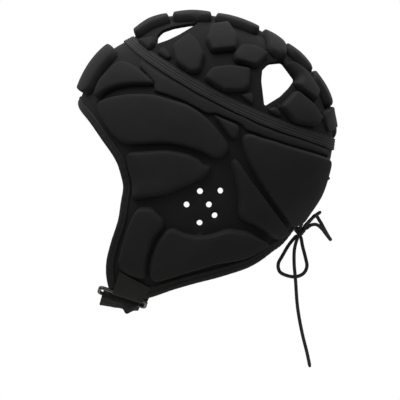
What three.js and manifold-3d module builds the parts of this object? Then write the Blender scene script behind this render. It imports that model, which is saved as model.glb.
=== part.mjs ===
// Padded head guard for contact sport, laced at the nape and strapped under the chin.
// Millimetres, +Z up. It is laid out as worn: the face looks along -X and the wearer's left is -Y.
// Points are given from the head centre between the ears. The whole is lowered at the end, so that
// the origin is the spot inside the crown where the guard rests on the top of the head.

import * as THREE from "three";
import { mergeVertices } from "three/addons/utils/BufferGeometryUtils.js";
import Module from "manifold-3d";

const wasm = await Module();
wasm.setup();

// Head form
const HALF_WIDTH = 77; // head centre to the outer face of the wall at the ear
const ROUNDNESS = 2.4; // power of the cross sections: 2 is an ellipse, more is squarer
const CHART_RADIUS = 150; // from the ear over the head to the midline

// Outer face of the wall on the midline: bearing in degrees from straight back, turning up and over
const PROFILE = [
  { bearing: -34, reach: 94.6 },
  { bearing: -16, reach: 99.4 },
  { bearing: 2, reach: 106.8 },
  { bearing: 12, reach: 111 },
  { bearing: 20, reach: 111 },
  { bearing: 26, reach: 112.8 },
  { bearing: 36, reach: 113.5 },
  { bearing: 46, reach: 114.6 },
  { bearing: 56, reach: 114.4 },
  { bearing: 66, reach: 115 },
  { bearing: 76, reach: 116 },
  { bearing: 98, reach: 119.8 },
  { bearing: 110, reach: 120.9 },
  { bearing: 119, reach: 118.5 },
  { bearing: 132, reach: 120.5 },
  { bearing: 150, reach: 116.6 },
  { bearing: 167, reach: 112 },
  { bearing: 184, reach: 113 },
  { bearing: 200, reach: 118 },
  { bearing: 218, reach: 151 },
  { bearing: 232, reach: 170 },
  { bearing: 250, reach: 166 },
  { bearing: 270, reach: 153 },
  { bearing: 290, reach: 131 },
  { bearing: 310, reach: 102 },
];

// Wall, pads and trims
const WALL = 2.5; // thin foam with its cover and lining
const PAD = 7.5; // how far a pad stands out from the wall
const PAD_FOOT = 1.2; // how far a pad's foot spreads past its outline
const PAD_EDGE = 1.2; // how far the edge of its top is drawn in
const PAD_LIFT = 2.9; // how far the middle of a pad's underside is lifted clear
const GAP = 0.6; // clearance between neighbouring pieces
const BINDING_WIDTH = 7;
const BINDING_HALF_DEPTH = 2.6;
const TAPE_WIDTH = 9.5;
const TAPE_DEPTH = 1.3;
const EAR_HOLE = 5; // diameter
const SLIT = 12; // open slit at the back that the lace draws together
const SLIT_TOP = -3; // height of its upper end
const LACE = 3; // diameter
const LACE_HOLE = 7.2; // diameter
const LACE_HOLE_OFFSET = 12; // from the midline
const LACE_HOLE_BEARINGS = [-8, -18, -28];

// Chin fastening
const STRAP_TILT = 18; // degrees that the ring and strap slope down to the back
const STRAP_WIDTH = 36;
const STRAP_DEPTH = 2;
const STRAP_TAIL = 38; // folded end behind the ring
const RING = { length: 43, height: 13, bar: 3, depth: 3 };
const RING_LEAN = 38; // degrees that the strap pulls the ring in under the jaw
const TAB_DEPTH = 1.6;

// How finely the surfaces are cut into facets
const HEAD_DETAIL = 5;
const PAD_FACET = 20;
const PAD_RING = 31;

// Edges as seen from the side: x to the back, z up
const FACE_EDGE = [
  { x: -108.3, z: 47.6 },
  { x: -105.3, z: 43.4 },
  { x: -97.1, z: 32.3 },
  { x: -83.9, z: 13.4 },
  { x: -73.5, z: -2.8 },
  { x: -68.9, z: -18 },
  { x: -69.2, z: -31 },
  { x: -72.2, z: -50 },
  { x: -78.5, z: -70 },
  { x: -82.2, z: -86 },
  { x: -81, z: -102.5 },
];
const LOWER_EDGE = [
  { x: -43.5, z: -115.5 },
  { x: -24.5, z: -109 },
  { x: 1, z: -102 },
  { x: 26, z: -95 },
  { x: 43.4, z: -87.8 },
  { x: 56.2, z: -78.8 },
  { x: 67.6, z: -69.6 },
];
const NAPE_BEARING = -34.5;
const SEAM = [
  { x: -63, z: 101 },
  { x: -45.5, z: 86 },
  { x: -3.5, z: 59.5 },
  { x: 51, z: 33 },
  { x: 109.8, z: 12.6 },
];
const EAR_HOLES = [
  { x: -3.4, z: -26.2 },
  { x: 13.9, z: -25.8 },
  { x: -14.7, z: -37.5 },
  { x: 4.2, z: -37.5 },
  { x: 9, z: -46.6 },
  { x: -3.7, z: -52.8 },
];
const VENTS = [
  {
    round: 1.5,
    corners: [
      [-40.2, 97.2], [-39.6, 104.5], [-35, 109.3], [-25.5, 112.6], [-14, 114.6],
      [-4.5, 115.6], [-10.5, 111.6], [-20.2, 105.6], [-30.2, 100.6],
    ],
  },
  {
    round: 2,
    corners: [[48, 66], [49, 76], [55, 82], [66, 83.2], [77.2, 68.4], [72, 61], [64, 53], [50.5, 44.6]],
  },
];

// Pads of one side, corners [x, z] as seen from the side on the pads' own tops
const SIDE_PADS = [
  {
    name: "forehead_side_pad",
    round: 8,
    corners: [
      [-72, 86], [-60, 81], [-44, 67.5], [-47, 64.5], [-66, 65.3],
      [-82, 61.5], [-95.5, 51.5], [-91, 67], [-82, 77],
    ],
  },
  {
    name: "temple_pad",
    round: 14,
    corners: [
      [-93, 50], [-75, 56], [-45, 57], [-20, 50], [1, 38], [21, 14], [21, 6],
      [10, 0], [-8, 10], [-33, 16], [-66, 13], [-77, 19], [-88, 34],
    ],
  },
  {
    name: "cheek_pad",
    round: 5,
    corners: [
      [-64, 6.5], [-33, 8], [-12, 4], [6, -6], [2, -13],
      [-12, -20], [-33, -30], [-58.8, -35], [-60.3, -17],
    ],
  },
  {
    name: "jaw_front_pad",
    round: 4,
    corners: [
      [-55, -42.5], [-43, -42.5], [-32, -54], [-44, -67], [-50, -86],
      [-51.5, -98.8], [-71, -88.4], [-66.5, -71], [-60, -52],
    ],
  },
  {
    name: "jaw_rear_pad",
    round: 6,
    corners: [
      [-29, -58], [-18, -65], [1, -67], [20, -61], [39, -65], [54, -75], [34, -86],
      [9, -90], [-16, -97], [-30, -101.3], [-41, -104.5], [-45, -95], [-44.5, -87], [-39, -69],
    ],
  },
  {
    name: "behind_ear_pad",
    round: 7,
    corners: [
      [23, 0], [29, 0], [49, -29], [71, -61], [70, -66],
      [62, -69], [49, -60], [29, -51], [32, -34], [29, -15],
    ],
  },
  {
    name: "occipital_pad",
    round: 7,
    corners: [
      [34, 24], [72, 12], [109.5, 1], [101.8, -27.5],
      [85.7, -53.2], [76.5, -59.5], [49, -18], [34, 8],
    ],
  },
  {
    name: "wedge_pad",
    round: 3,
    corners: [[8, 39], [31, 29], [29, 19], [24, 18]],
  },
  {
    name: "crown_front_pad",
    round: 2.5,
    corners: [[-28, 98], [-13, 109], [-6, 103], [0, 92], [-4, 77], [-12, 75.5], [-24, 84]],
  },
  {
    name: "crown_top_pad",
    round: 2.5,
    corners: [[2, 104], [6, 116], [20, 118], [29, 106], [27, 96], [7, 94]],
  },
  {
    name: "crown_mid_pad",
    round: 2.5,
    corners: [[26, 92], [32, 99], [44, 98], [56, 91], [45, 81], [27, 86]],
  },
  {
    name: "crown_side_pad",
    round: 2.5,
    corners: [[0, 71], [7, 80], [22, 82], [40, 79], [39, 64], [34, 60], [17, 60]],
  },
  {
    name: "crown_rear_pad",
    round: 2.5,
    corners: [[71.5, 82.5], [76, 84.5], [89, 75], [99, 59], [97, 51], [85, 60], [80.5, 66], [74.5, 76]],
  },
  {
    name: "crown_back_pad",
    round: 2.5,
    corners: [[67, 46], [80, 60], [93, 49], [102, 36], [98, 29.5], [78, 33]],
  },
  {
    name: "corner_pad_front",
    round: 2,
    height: 4,
    corners: [[-40, 91.5], [-34, 96], [-28, 87], [-31, 86]],
  },
  {
    name: "corner_pad_mid",
    round: 2,
    height: 4,
    corners: [[31, 55], [41, 57], [42, 47]],
  },
  {
    name: "corner_pad_rear",
    round: 2,
    height: 4,
    corners: [[55, 42], [61, 45], [66, 38], [63, 37.5]],
  },
];

// Pads on the midline, between two bearings; sweep turns the bearing at their outer ends
const MIDLINE_PADS = [
  { name: "forehead_pad", from: 129.3, to: 150.6, halfWidth: 36, sweep: 0, round: 9 },
  { name: "crown_strip_pad_1", from: 104, to: 118.6, halfWidth: 24, sweep: 0, round: 6 },
  { name: "crown_strip_pad_2", from: 87.3, to: 102.2, halfWidth: 24, sweep: 0, round: 6 },
  { name: "crown_strip_pad_3", from: 67.2, to: 85.3, halfWidth: 22, sweep: 0, round: 6 },
  { name: "crown_strip_pad_4", from: 57, to: 65.9, halfWidth: 40, sweep: -6, round: 6 },
  { name: "crown_strip_pad_5", from: 42.4, to: 55.2, halfWidth: 22, sweep: -3.3, round: 6 },
  { name: "crown_strip_pad_6", from: 25.2, to: 39.6, halfWidth: 22, sweep: -2.3, round: 6 },
  { name: "crown_strip_pad_7", from: 14.2, to: 23.2, halfWidth: 33, sweep: -1.5, round: 6 },
];

// The lace where it is laced: height is from the outer face of the wall, outwards
const LACING = [
  { bearing: -31, y: -8, height: 2.8 },
  { bearing: -28.6, y: -11, height: 2.8 },
  { bearing: -28, y: -12, height: -1.2 },
  { bearing: -26, y: -12, height: -5.2 },
  { bearing: -20, y: -12, height: -5.2 },
  { bearing: -18, y: -12, height: -1.2 },
  { bearing: -18, y: -10, height: 2.9 },
  { bearing: -18, y: 0, height: 2.8 },
  { bearing: -18, y: 10, height: 2.9 },
  { bearing: -18, y: 12, height: -1.2 },
  { bearing: -16, y: 12, height: -5.2 },
  { bearing: -10, y: 12, height: -5.2 },
  { bearing: -8, y: 12, height: -1.2 },
  { bearing: -8, y: 10, height: 2.9 },
  { bearing: -8, y: 0, height: 2.8 },
  { bearing: -8, y: -10, height: 2.9 },
  { bearing: -8, y: -12, height: -1.2 },
  { bearing: -9.5, y: -11, height: -5.2 },
  { bearing: -18, y: 0, height: -5.2 },
  { bearing: -26.5, y: 11, height: -5.2 },
  { bearing: -28, y: 12, height: -1.2 },
  { bearing: -28.6, y: 11, height: 2.8 },
  { bearing: -31, y: 8, height: 2.8 },
];

// The bow: its loops and tails leave the knot in a direction, and a loop comes back from another
const KNOT = { x: 80.6, y: 0, z: -59.6, halfX: 4.6, halfY: 4.2, halfZ: 3.8 };
const LACING_ENDS = { first: [0, -5, 4], last: [0, 5, 4] };
const BOW = [
  {
    name: "lace_loop_near",
    steps: 16,
    leaves: [-9, 0.5, -12],
    route: [
      [71.5, -1.5, -71], [65.8, -3, -80.5], [62.3, -3, -87.5], [63.6, -3, -93.8], [70, -3, -97.2],
      [77.3, -3, -98], [83.6, -3, -95.2], [86.4, -3, -89.5], [85.2, -2.5, -82], [82.8, -1.5, -72.5],
    ],
    returns: [2.3, 0, -14],
  },
  {
    name: "lace_tail_near",
    steps: 15,
    leaves: [-1.5, -6, -6],
    route: [
      [77.6, -7.5, -68], [75.9, -8.5, -75], [75.6, -8, -86], [76.8, -8, -101],
      [78.5, -7, -123.5], [82.3, -6, -145], [86.5, -5, -162], [89, -5, -174],
    ],
  },
  {
    name: "lace_loop_far",
    steps: 13,
    leaves: [9, 0.5, 2.5],
    route: [
      [89.6, 2, -54.8], [94.5, 3, -54.3], [99, 4, -57.6], [103, 6, -62.8], [106.3, 10, -66.8],
      [104.8, 14, -64.5], [101.6, 16, -58.8], [97.4, 16, -51.2], [94, 14, -46.6], [90.3, 10, -49.8],
    ],
    returns: [7.5, 7, 5],
  },
  {
    name: "lace_tail_far",
    steps: 6,
    leaves: [7.5, -5, 7.5],
    route: [[88.2, -6, -51.5], [91.2, -11, -48.5], [94.2, -17, -46], [97.6, -24.2, -43.6]],
  },
];

const FABRIC = new THREE.MeshStandardMaterial({ color: "#26272a", roughness: 0.9, metalness: 0 });
const WEBBED = new THREE.MeshStandardMaterial({ color: "#2b2c2f", roughness: 0.85, metalness: 0 });
const TAPED = new THREE.MeshStandardMaterial({ color: "#3c3d40", roughness: 0.8, metalness: 0 });
const BOUND = new THREE.MeshStandardMaterial({ color: "#1c1c1e", roughness: 0.85, metalness: 0 });
const CORDED = new THREE.MeshStandardMaterial({ color: "#222225", roughness: 0.8, metalness: 0 });
const PLASTIC = new THREE.MeshStandardMaterial({ color: "#17171a", roughness: 0.35, metalness: 0 });

// Distance from the head centre to the wall's outer face on the midline
function reach(bearing) {
  const first = PROFILE[0].bearing;
  const turn = THREE.MathUtils.euclideanModulo(THREE.MathUtils.radToDeg(bearing) - first, 360);
  const row = (i) => {
    const lap = Math.floor(i / PROFILE.length);
    const { bearing: at, reach: far } = PROFILE[i - lap * PROFILE.length];
    return { at: at - first + 360 * lap, far };
  };
  let i = 0;
  while (row(i + 1).at <= turn) {
    i += 1;
  }
  const [a, b, c, d] = [row(i - 1), row(i), row(i + 1), row(i + 2)];
  const span = c.at - b.at;
  const slopeB = (span * (c.far - a.far)) / (c.at - a.at);
  const slopeC = (span * (d.far - b.far)) / (d.at - b.at);
  const t = (turn - b.at) / span;
  const rise = t * t * (3 - 2 * t);
  return b.far * (1 - rise) + c.far * rise + t * (1 - t) * (slopeB * (1 - t) - slopeC * t);
}

// The outward direction of the wall at a spot: its bearing, and its distance y from the midline
function outward({ bearing, y }) {
  const step = 0.01;
  const side = Math.min(Math.abs(y) / HALF_WIDTH, 1);
  const share = (1 - side ** ROUNDNESS) ** (1 / ROUNDNESS);
  const far = reach(bearing);
  const slope = (reach(bearing + step) - reach(bearing - step)) / (2 * step);
  const pull = share ** (ROUNDNESS - 1) / far;
  const lean = (pull * slope) / far;
  return new THREE.Vector3(
    pull * Math.cos(bearing) + lean * Math.sin(bearing),
    (Math.sign(y) * side ** (ROUNDNESS - 1)) / HALF_WIDTH,
    pull * Math.sin(bearing) - lean * Math.cos(bearing),
  ).normalize();
}

// A point at a height above the wall's outer face
function onHead(spot, height = 0) {
  const side = Math.min(Math.abs(spot.y) / HALF_WIDTH, 1);
  const share = (1 - side ** ROUNDNESS) ** (1 / ROUNDNESS);
  const radius = share * reach(spot.bearing);
  const [x, z] = [radius * Math.cos(spot.bearing), radius * Math.sin(spot.bearing)];
  return new THREE.Vector3(x, spot.y, z).addScaledVector(outward(spot), height);
}

// The spot on the left side that is seen at x, z from the side, on a surface at a height
function fromSide(x, z, height) {
  const bearing = Math.atan2(z, x);
  const share = Math.min(Math.hypot(x, z) / (reach(bearing) + height), 1);
  return { bearing, y: -HALF_WIDTH * (1 - share ** ROUNDNESS) ** (1 / ROUNDNESS) };
}

// A flat chart of one side, spread out round the ear: lengths on it are near to lengths on the head
function toChart({ bearing, y }) {
  const latitude = Math.asin((Math.abs(y) / HALF_WIDTH) ** (ROUNDNESS / 2));
  const radius = CHART_RADIUS * (1 - latitude / (Math.PI / 2));
  return [radius * Math.cos(bearing), radius * Math.sin(bearing)];
}

function fromChart({ x, y }) {
  const latitude = (Math.PI / 2) * Math.max(1 - Math.hypot(x, y) / CHART_RADIUS, 0);
  return { bearing: Math.atan2(y, x), y: -HALF_WIDTH * Math.sin(latitude) ** (2 / ROUNDNESS) };
}

// The spot below or above a point in space
function under(point) {
  return { bearing: Math.atan2(point.z, point.x), y: point.y };
}

function degrees(angle) {
  return THREE.MathUtils.degToRad(angle);
}

function middle(points) {
  const nought = points[0].clone().multiplyScalar(0);
  return points.reduce((sum, point) => sum.add(point), nought).divideScalar(points.length);
}

// A closed geometry whose faces point out
function closedGeometry(points, faces) {
  const parts = faces.map(([a, b, c]) => points[a].dot(points[b].clone().cross(points[c])));
  const volume = parts.reduce((sum, part) => sum + part, 0);
  const order = volume > 0 ? faces : faces.map(([a, b, c]) => [a, c, b]);
  const geometry = new THREE.BufferGeometry().setFromPoints(points);
  geometry.setIndex(order.flat());
  return geometry;
}

// A solid through rings of points: joined end to end in a loop, or closed by a tip at each end
function loft(rings, { loop = false, tips = [middle(rings[0]), middle(rings.at(-1))] } = {}) {
  const count = rings[0].length;
  const faces = [];
  const steps = loop ? rings.length : rings.length - 1;
  for (let i = 0; i < steps; i += 1) {
    const here = i * count;
    const next = ((i + 1) % rings.length) * count;
    for (let j = 0; j < count; j += 1) {
      const k = (j + 1) % count;
      faces.push([here + j, here + k, next + k], [here + j, next + k, next + j]);
    }
  }
  if (loop) {
    return closedGeometry(rings.flat(), faces);
  }
  const firstTip = rings.length * count;
  const lastRing = firstTip - count;
  for (let j = 0; j < count; j += 1) {
    const k = (j + 1) % count;
    faces.push([firstTip, k, j], [firstTip + 1, lastRing + j, lastRing + k]);
  }
  return closedGeometry([...rings.flat(), ...tips], faces);
}

function joined(geometry) {
  const bare = geometry.clone();
  bare.deleteAttribute("normal");
  bare.deleteAttribute("uv");
  return mergeVertices(bare, 1e-4);
}

function solid(geometry) {
  const bare = joined(geometry);
  const vertProperties = new Float32Array(bare.attributes.position.array);
  const triVerts = new Uint32Array(bare.index.array);
  return new wasm.Manifold(new wasm.Mesh({ numProp: 3, vertProperties, triVerts }));
}

function geometryOf(body) {
  const mesh = body.getMesh();
  const geometry = new THREE.BufferGeometry();
  geometry.setAttribute("position", new THREE.BufferAttribute(new Float32Array(mesh.vertProperties), 3));
  geometry.setIndex([...mesh.triVerts]);
  return geometry;
}

// The whole head form at a height from the wall's outer face: an even ball drawn onto the head
function headForm(height) {
  const ball = joined(new THREE.IcosahedronGeometry(1, HEAD_DETAIL));
  const place = ball.attributes.position;
  for (let i = 0; i < place.count; i += 1) {
    const rise = THREE.MathUtils.clamp(place.getY(i), -1, 1);
    const spot = {
      bearing: Math.atan2(place.getZ(i), place.getX(i)),
      y: HALF_WIDTH * Math.sign(rise) * Math.abs(rise) ** (2 / ROUNDNESS),
    };
    place.setXYZ(i, ...onHead(spot, height));
  }
  return ball;
}

// A flat outline with its corners rounded
function roundedShape(corners, radius) {
  const shape = new THREE.Shape();
  const points = corners.map(([x, z]) => new THREE.Vector2(x, z));
  points.forEach((corner, i) => {
    const toward = (other) => {
      const length = corner.distanceTo(other);
      return corner.clone().lerp(other, Math.min(radius, length / 2) / length);
    };
    const start = toward(points.at(i - 1));
    const end = toward(points[(i + 1) % points.length]);
    if (i === 0) {
      shape.moveTo(start.x, start.y);
    } else {
      shape.lineTo(start.x, start.y);
    }
    shape.quadraticCurveTo(corner.x, corner.y, end.x, end.y);
  });
  shape.closePath();
  return shape;
}

// Points round a shape: two to each rounded corner, and more where an edge is long
function outlinePoints(shape) {
  const isApart = (point, i, all) => i === 0 || point.distanceTo(all[i - 1]) > 0.3;
  const bends = shape.getPoints(2).filter(isApart);
  bends.pop();
  return bends.flatMap((from, i) => {
    const to = bends[(i + 1) % bends.length];
    const pieces = Math.ceil(from.distanceTo(to) / PAD_FACET);
    return Array.from({ length: pieces }, (_, k) => from.clone().lerp(to, k / pieces));
  });
}

// A side view outline carried across the head, from y = near to y = far
function acrossHead(shape, near, far) {
  const depth = far - near;
  const geometry = new THREE.ExtrudeGeometry(shape, { depth, bevelEnabled: false, curveSegments: 2 });
  return solid(geometry.rotateX(Math.PI / 2).translate(0, far, 0));
}

// A moulded pad: its sides lean in from a spread foot, and its top swells to the middle
function padGeometry(corners, radius, height, toSpot) {
  const edge = outlinePoints(roundedShape(corners, radius));
  const centre = middle(edge);
  const ring = (share, spread, level) =>
    edge.map((point) => {
      const spoke = point.clone().sub(centre);
      const at = centre.clone().addScaledVector(spoke, share + spread / spoke.length());
      return onHead(toSpot(at), level);
    });
  const longest = Math.max(...edge.map((point) => point.distanceTo(centre)));
  const inner = Math.ceil(longest / PAD_RING) - 1;
  const shares = Array.from({ length: inner }, (_, i) => (i + 1) / (inner + 1));
  const below = shares.map((share) => ring(share, 0, GAP + PAD_LIFT * (1 - share)));
  const above = shares.map((share) => ring(share, -PAD_EDGE * share, height));
  const tips = [onHead(toSpot(centre), GAP + PAD_LIFT), onHead(toSpot(centre), height)];
  return loft(
    [
      ...below,
      ring(1, PAD_FOOT, GAP),
      ring(1, -PAD_EDGE, height * 0.95),
      ...above.reverse(),
    ],
    { tips },
  );
}

// Stations along a route on the head: a point, and the ways out of the wall and across the route
function stationsAlong(points, spacing, { loop = false, turn = 1 } = {}) {
  const curve = new THREE.CatmullRomCurve3(points, loop, "centripetal");
  const count = Math.round(curve.getLength() / spacing);
  const spots = curve.getSpacedPoints(count).map(under);
  const line = spots.map((spot) => onHead(spot));
  if (loop) {
    spots.pop();
    line.pop();
  }
  return spots.map((spot, i) => {
    const last = line.length - 1;
    const before = loop ? line.at(i - 1) : line[Math.max(i - 1, 0)];
    const after = loop ? line[(i + 1) % line.length] : line[Math.min(i + 1, last)];
    const out = outward(spot);
    const across = after.clone().sub(before).cross(out).setLength(turn);
    return { point: line[i], out, across };
  });
}

// A strip with the given cross section [across, out] drawn along stations
function drawnAlong(stations, section, loop = false) {
  const rings = stations.map(({ point, out, across }) =>
    section.map(([side, height]) => {
      return point.clone().addScaledVector(across, side).addScaledVector(out, height);
    }),
  );
  return loft(rings, { loop });
}

function mirrored(point) {
  return new THREE.Vector3(point.x, -point.y, point.z);
}

// Bound edges
const facePoints = FACE_EDGE.map(({ x, z }) => onHead(fromSide(x, z, 1)));
const faceLoop = [...facePoints.slice(1).reverse(), ...facePoints.map(mirrored)];
const lowerPoints = LOWER_EDGE.map(({ x, z }) => onHead(fromSide(x, z, 1)));
lowerPoints.push(onHead({ bearing: degrees(NAPE_BEARING), y: -SLIT / 2 }));
const faceStations = stationsAlong(faceLoop, 14);
const lowerStations = stationsAlong(lowerPoints, 14, { turn: -1 });
const bindingSection = [];
const bindingSides = 6;
for (let corner = 0; corner < bindingSides; corner += 1) {
  const angle = (2 * Math.PI * corner) / bindingSides;
  bindingSection.push([
    (BINDING_WIDTH / 2) * (1 + Math.cos(angle)),
    BINDING_HALF_DEPTH * Math.sin(angle) - WALL / 2,
  ]);
}

// The wall is trimmed square to its faces, a gap short of the binding
const trimSection = [
  [BINDING_WIDTH + GAP, -8],
  [BINDING_WIDTH + GAP, 8],
  [-20, 8],
  [-20, -8],
];
const outlineOf = (stations) => stations.map(({ point }) => new THREE.Vector2(point.x, point.z));
const faceOutline = outlineOf(faceStations.slice(0, Math.ceil(faceStations.length / 2)));
const lowerOutline = outlineOf(lowerStations);

// The walls, split along the seam
const seamCurve = new THREE.SplineCurve(SEAM.map(({ x, z }) => new THREE.Vector2(x, z)));
const seamLine = [new THREE.Vector2(-95, 152), ...seamCurve.getPoints(24), new THREE.Vector2(161, -11)];
const shell = solid(headForm(0)).subtract(solid(headForm(-WALL)));
const acrossAll = 2 * HALF_WIDTH;

const sideShape = new THREE.Shape([
  ...seamLine.map(({ x, y }) => new THREE.Vector2(x, y - GAP / 2)),
  lowerOutline.at(-1).clone().multiplyScalar(1.4),
  ...[...lowerOutline].reverse(),
  ...faceOutline,
  faceOutline.at(-1).clone().multiplyScalar(1.4),
]);
let sideWall = shell.intersect(acrossHead(sideShape, -acrossAll, -GAP / 2));
for (const stations of [faceStations, lowerStations]) {
  sideWall = sideWall.subtract(solid(drawnAlong(stations, trimSection)));
}
for (const { x, z } of EAR_HOLES) {
  const hole = new THREE.CylinderGeometry(EAR_HOLE / 2, EAR_HOLE / 2, acrossAll, 8);
  sideWall = sideWall.subtract(solid(hole.translate(x, -HALF_WIDTH, z)));
}
const slitHeight = 100;
const slitBox = new THREE.BoxGeometry(80, SLIT, slitHeight).translate(100, 0, SLIT_TOP - slitHeight / 2);
sideWall = sideWall.subtract(solid(slitBox));
for (const bearing of LACE_HOLE_BEARINGS) {
  const spot = { bearing: degrees(bearing), y: -LACE_HOLE_OFFSET };
  const hole = new THREE.CylinderGeometry(LACE_HOLE / 2, LACE_HOLE / 2, 6 * WALL, 8);
  const upright = new THREE.Vector3(0, 1, 0);
  hole.applyQuaternion(new THREE.Quaternion().setFromUnitVectors(upright, outward(spot)));
  const { x, y, z } = onHead(spot);
  sideWall = sideWall.subtract(solid(hole.translate(x, y, z)));
}

const crownShape = new THREE.Shape([
  ...seamLine.map(({ x, y }) => new THREE.Vector2(x, y + GAP / 2)),
  new THREE.Vector2(161, 200),
  new THREE.Vector2(-95, 200),
]);
let crownWall = shell.intersect(acrossHead(crownShape, -acrossAll, acrossAll));
for (const { round, corners } of VENTS) {
  crownWall = crownWall.subtract(acrossHead(roundedShape(corners, round), -acrossAll, acrossAll));
}

// The tape over the seam
const seamPoints = [];
const seamSamples = 12;
for (let i = 0; i <= seamSamples; i += 1) {
  const { x, y } = seamCurve.getPoint((1 - Math.cos((Math.PI * i) / seamSamples)) / 2);
  seamPoints.push(onHead(fromSide(x, y, 0)));
}
const seamLoop = [...seamPoints, ...seamPoints.slice(1, -1).reverse().map(mirrored)];
const tapeSection = [
  [-TAPE_WIDTH / 2, GAP],
  [TAPE_WIDTH / 2, GAP],
  [TAPE_WIDTH / 2, GAP + TAPE_DEPTH],
  [-TAPE_WIDTH / 2, GAP + TAPE_DEPTH],
];
const tapeGeometry = drawnAlong(stationsAlong(seamLoop, 13, { loop: true }), tapeSection, true);

// The chin fastening is laid out on a plane square to the strap's width, at the jaw's lower corner
const tilt = degrees(STRAP_TILT);
const widthWay = new THREE.Vector3(Math.cos(tilt), 0, -Math.sin(tilt));
const jawSpot = fromSide(-66.5, -110, 0);
const jaw = onHead(jawSpot);
const jawOut = outward(jawSpot);
jawOut.addScaledVector(widthWay, -jawOut.dot(widthWay)).normalize();
const jawUp = jawOut.clone().cross(widthWay);
const jawFrame = new THREE.Group();
jawFrame.matrixAutoUpdate = false;
jawFrame.matrix.makeBasis(widthWay, jawUp, jawOut).setPosition(jaw);

// In the jaw frame x is the strap's width, y up the jaw and z out of it. The ring hangs from its
// upper bar, which the tab holds, and its lower bar is drawn in under the jaw.
const ringTop = -2;
const ringMiddle = -WALL / 2;
const upperBar = ringTop - RING.bar / 2;
const barSpacing = RING.height - RING.bar;
const lean = degrees(RING_LEAN);
const lowerBar = {
  up: upperBar - barSpacing * Math.cos(lean),
  out: ringMiddle - barSpacing * Math.sin(lean),
};
const ringFace = (length, height, radius) => {
  const [x, y] = [length / 2, height / 2];
  return roundedShape([[-x, -y], [x, -y], [x, y], [-x, y]], radius);
};
const ringShape = ringFace(RING.length, RING.height, 4);
ringShape.holes.push(ringFace(RING.length - 2 * RING.bar, RING.height - 2 * RING.bar, 1.5));
const ringGeometry = new THREE.ExtrudeGeometry(ringShape, {
  depth: RING.depth,
  bevelEnabled: false,
  curveSegments: 3,
});
ringGeometry.translate(0, -barSpacing / 2, -RING.depth / 2);
ringGeometry.rotateX(lean).translate(0, upperBar, ringMiddle);

// The tab: a sewn patch, and a fold of it round the ring's upper bar
const tabPatch = new THREE.ExtrudeGeometry(roundedShape([[-9.5, 16.5], [20, 11], [17.5, -1], [-9, -1]], 1), {
  depth: TAB_DEPTH,
  bevelEnabled: false,
  curveSegments: 2,
});
const barReach = (RING.bar / 2) * (Math.cos(lean) + Math.sin(lean)) + GAP / 2;
const foldFront = ringMiddle + barReach;
const foldBack = ringMiddle - barReach;
const foldLow = upperBar - barReach;
const tabFold = new THREE.Shape([
  new THREE.Vector2(0.5, GAP + TAB_DEPTH),
  new THREE.Vector2(foldLow, foldFront + TAB_DEPTH),
  new THREE.Vector2(foldLow - TAB_DEPTH, foldFront),
  new THREE.Vector2(foldLow - TAB_DEPTH, foldBack),
  new THREE.Vector2(foldLow, foldBack - TAB_DEPTH),
  new THREE.Vector2(ringTop + 1, foldBack - TAB_DEPTH),
  new THREE.Vector2(ringTop + 1, foldBack),
  new THREE.Vector2(foldLow, foldBack),
  new THREE.Vector2(foldLow, foldFront),
  new THREE.Vector2(0.5, GAP),
]);
const foldWidth = 26;
const tabFoldGeometry = new THREE.ExtrudeGeometry(tabFold, { depth: foldWidth, bevelEnabled: false });
const foldMatrix = new THREE.Matrix4().makeBasis(
  new THREE.Vector3(0, 1, 0),
  new THREE.Vector3(0, 0, 1),
  new THREE.Vector3(1, 0, 0),
);
tabFoldGeometry.applyMatrix4(foldMatrix).translate(-8.5, 0, 0);
const tabGeometry = geometryOf(solid(tabPatch.translate(0, 0, GAP)).add(solid(tabFoldGeometry)));

// The strap's side view: across is towards the wearer's right, up is square to it
const strapFrame = new THREE.Group();
const strapUp = new THREE.Vector3(Math.sin(tilt), 0, Math.cos(tilt));
strapFrame.matrixAutoUpdate = false;
strapFrame.matrix.makeBasis(new THREE.Vector3(0, 1, 0), strapUp, widthWay);
strapFrame.matrix.setPosition(jaw.x, 0, jaw.z);
const jawSide = (up, out, side) => {
  const across = jaw.y + up * jawUp.y + out * jawOut.y;
  return new THREE.Vector2(-side * across, up * jawUp.dot(strapUp) + out * jawOut.dot(strapUp));
};
const wrap = barReach + GAP / 2 + STRAP_DEPTH / 2;
const level = jawSide(lowerBar.up - wrap, lowerBar.out, -1);
const wrapPoints = [];
for (let angle = 90; angle >= -90; angle -= 45) {
  const up = lowerBar.up + wrap * Math.sin(degrees(angle));
  wrapPoints.push(jawSide(up, lowerBar.out + wrap * Math.cos(degrees(angle)), -1));
}
const tailLift = STRAP_DEPTH + 2 * GAP;
const strapRoute = new THREE.SplineCurve([
  new THREE.Vector2(level.x + STRAP_TAIL, level.y + tailLift - 2),
  new THREE.Vector2(level.x + STRAP_TAIL / 2, level.y + tailLift - 0.5),
  jawSide(lowerBar.up + wrap - 0.5, lowerBar.out - 5, -1),
  ...wrapPoints,
  new THREE.Vector2(level.x + STRAP_TAIL / 2, level.y - 1),
  new THREE.Vector2(level.x + STRAP_TAIL, level.y - 2.5),
  new THREE.Vector2(0, level.y - 3.5),
  new THREE.Vector2(-level.x - STRAP_TAIL, level.y - 2.5),
  new THREE.Vector2(-level.x - STRAP_TAIL / 3, level.y),
  jawSide(-9, 2.5, 1),
  jawSide(-2, 3.4, 1),
  jawSide(12, 3.4, 1),
]);
const strapLine = strapRoute.getPoints(34);
const strapEdge = (offset) =>
  strapLine.map((point, i) => {
    const before = strapLine[Math.max(i - 1, 0)];
    const after = strapLine[Math.min(i + 1, strapLine.length - 1)];
    const along = after.clone().sub(before).normalize();
    return new THREE.Vector2(point.x - along.y * offset, point.y + along.x * offset);
  });
const strapShape = new THREE.Shape([
  ...strapEdge(STRAP_DEPTH / 2),
  ...strapEdge(-STRAP_DEPTH / 2).reverse(),
]);
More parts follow.
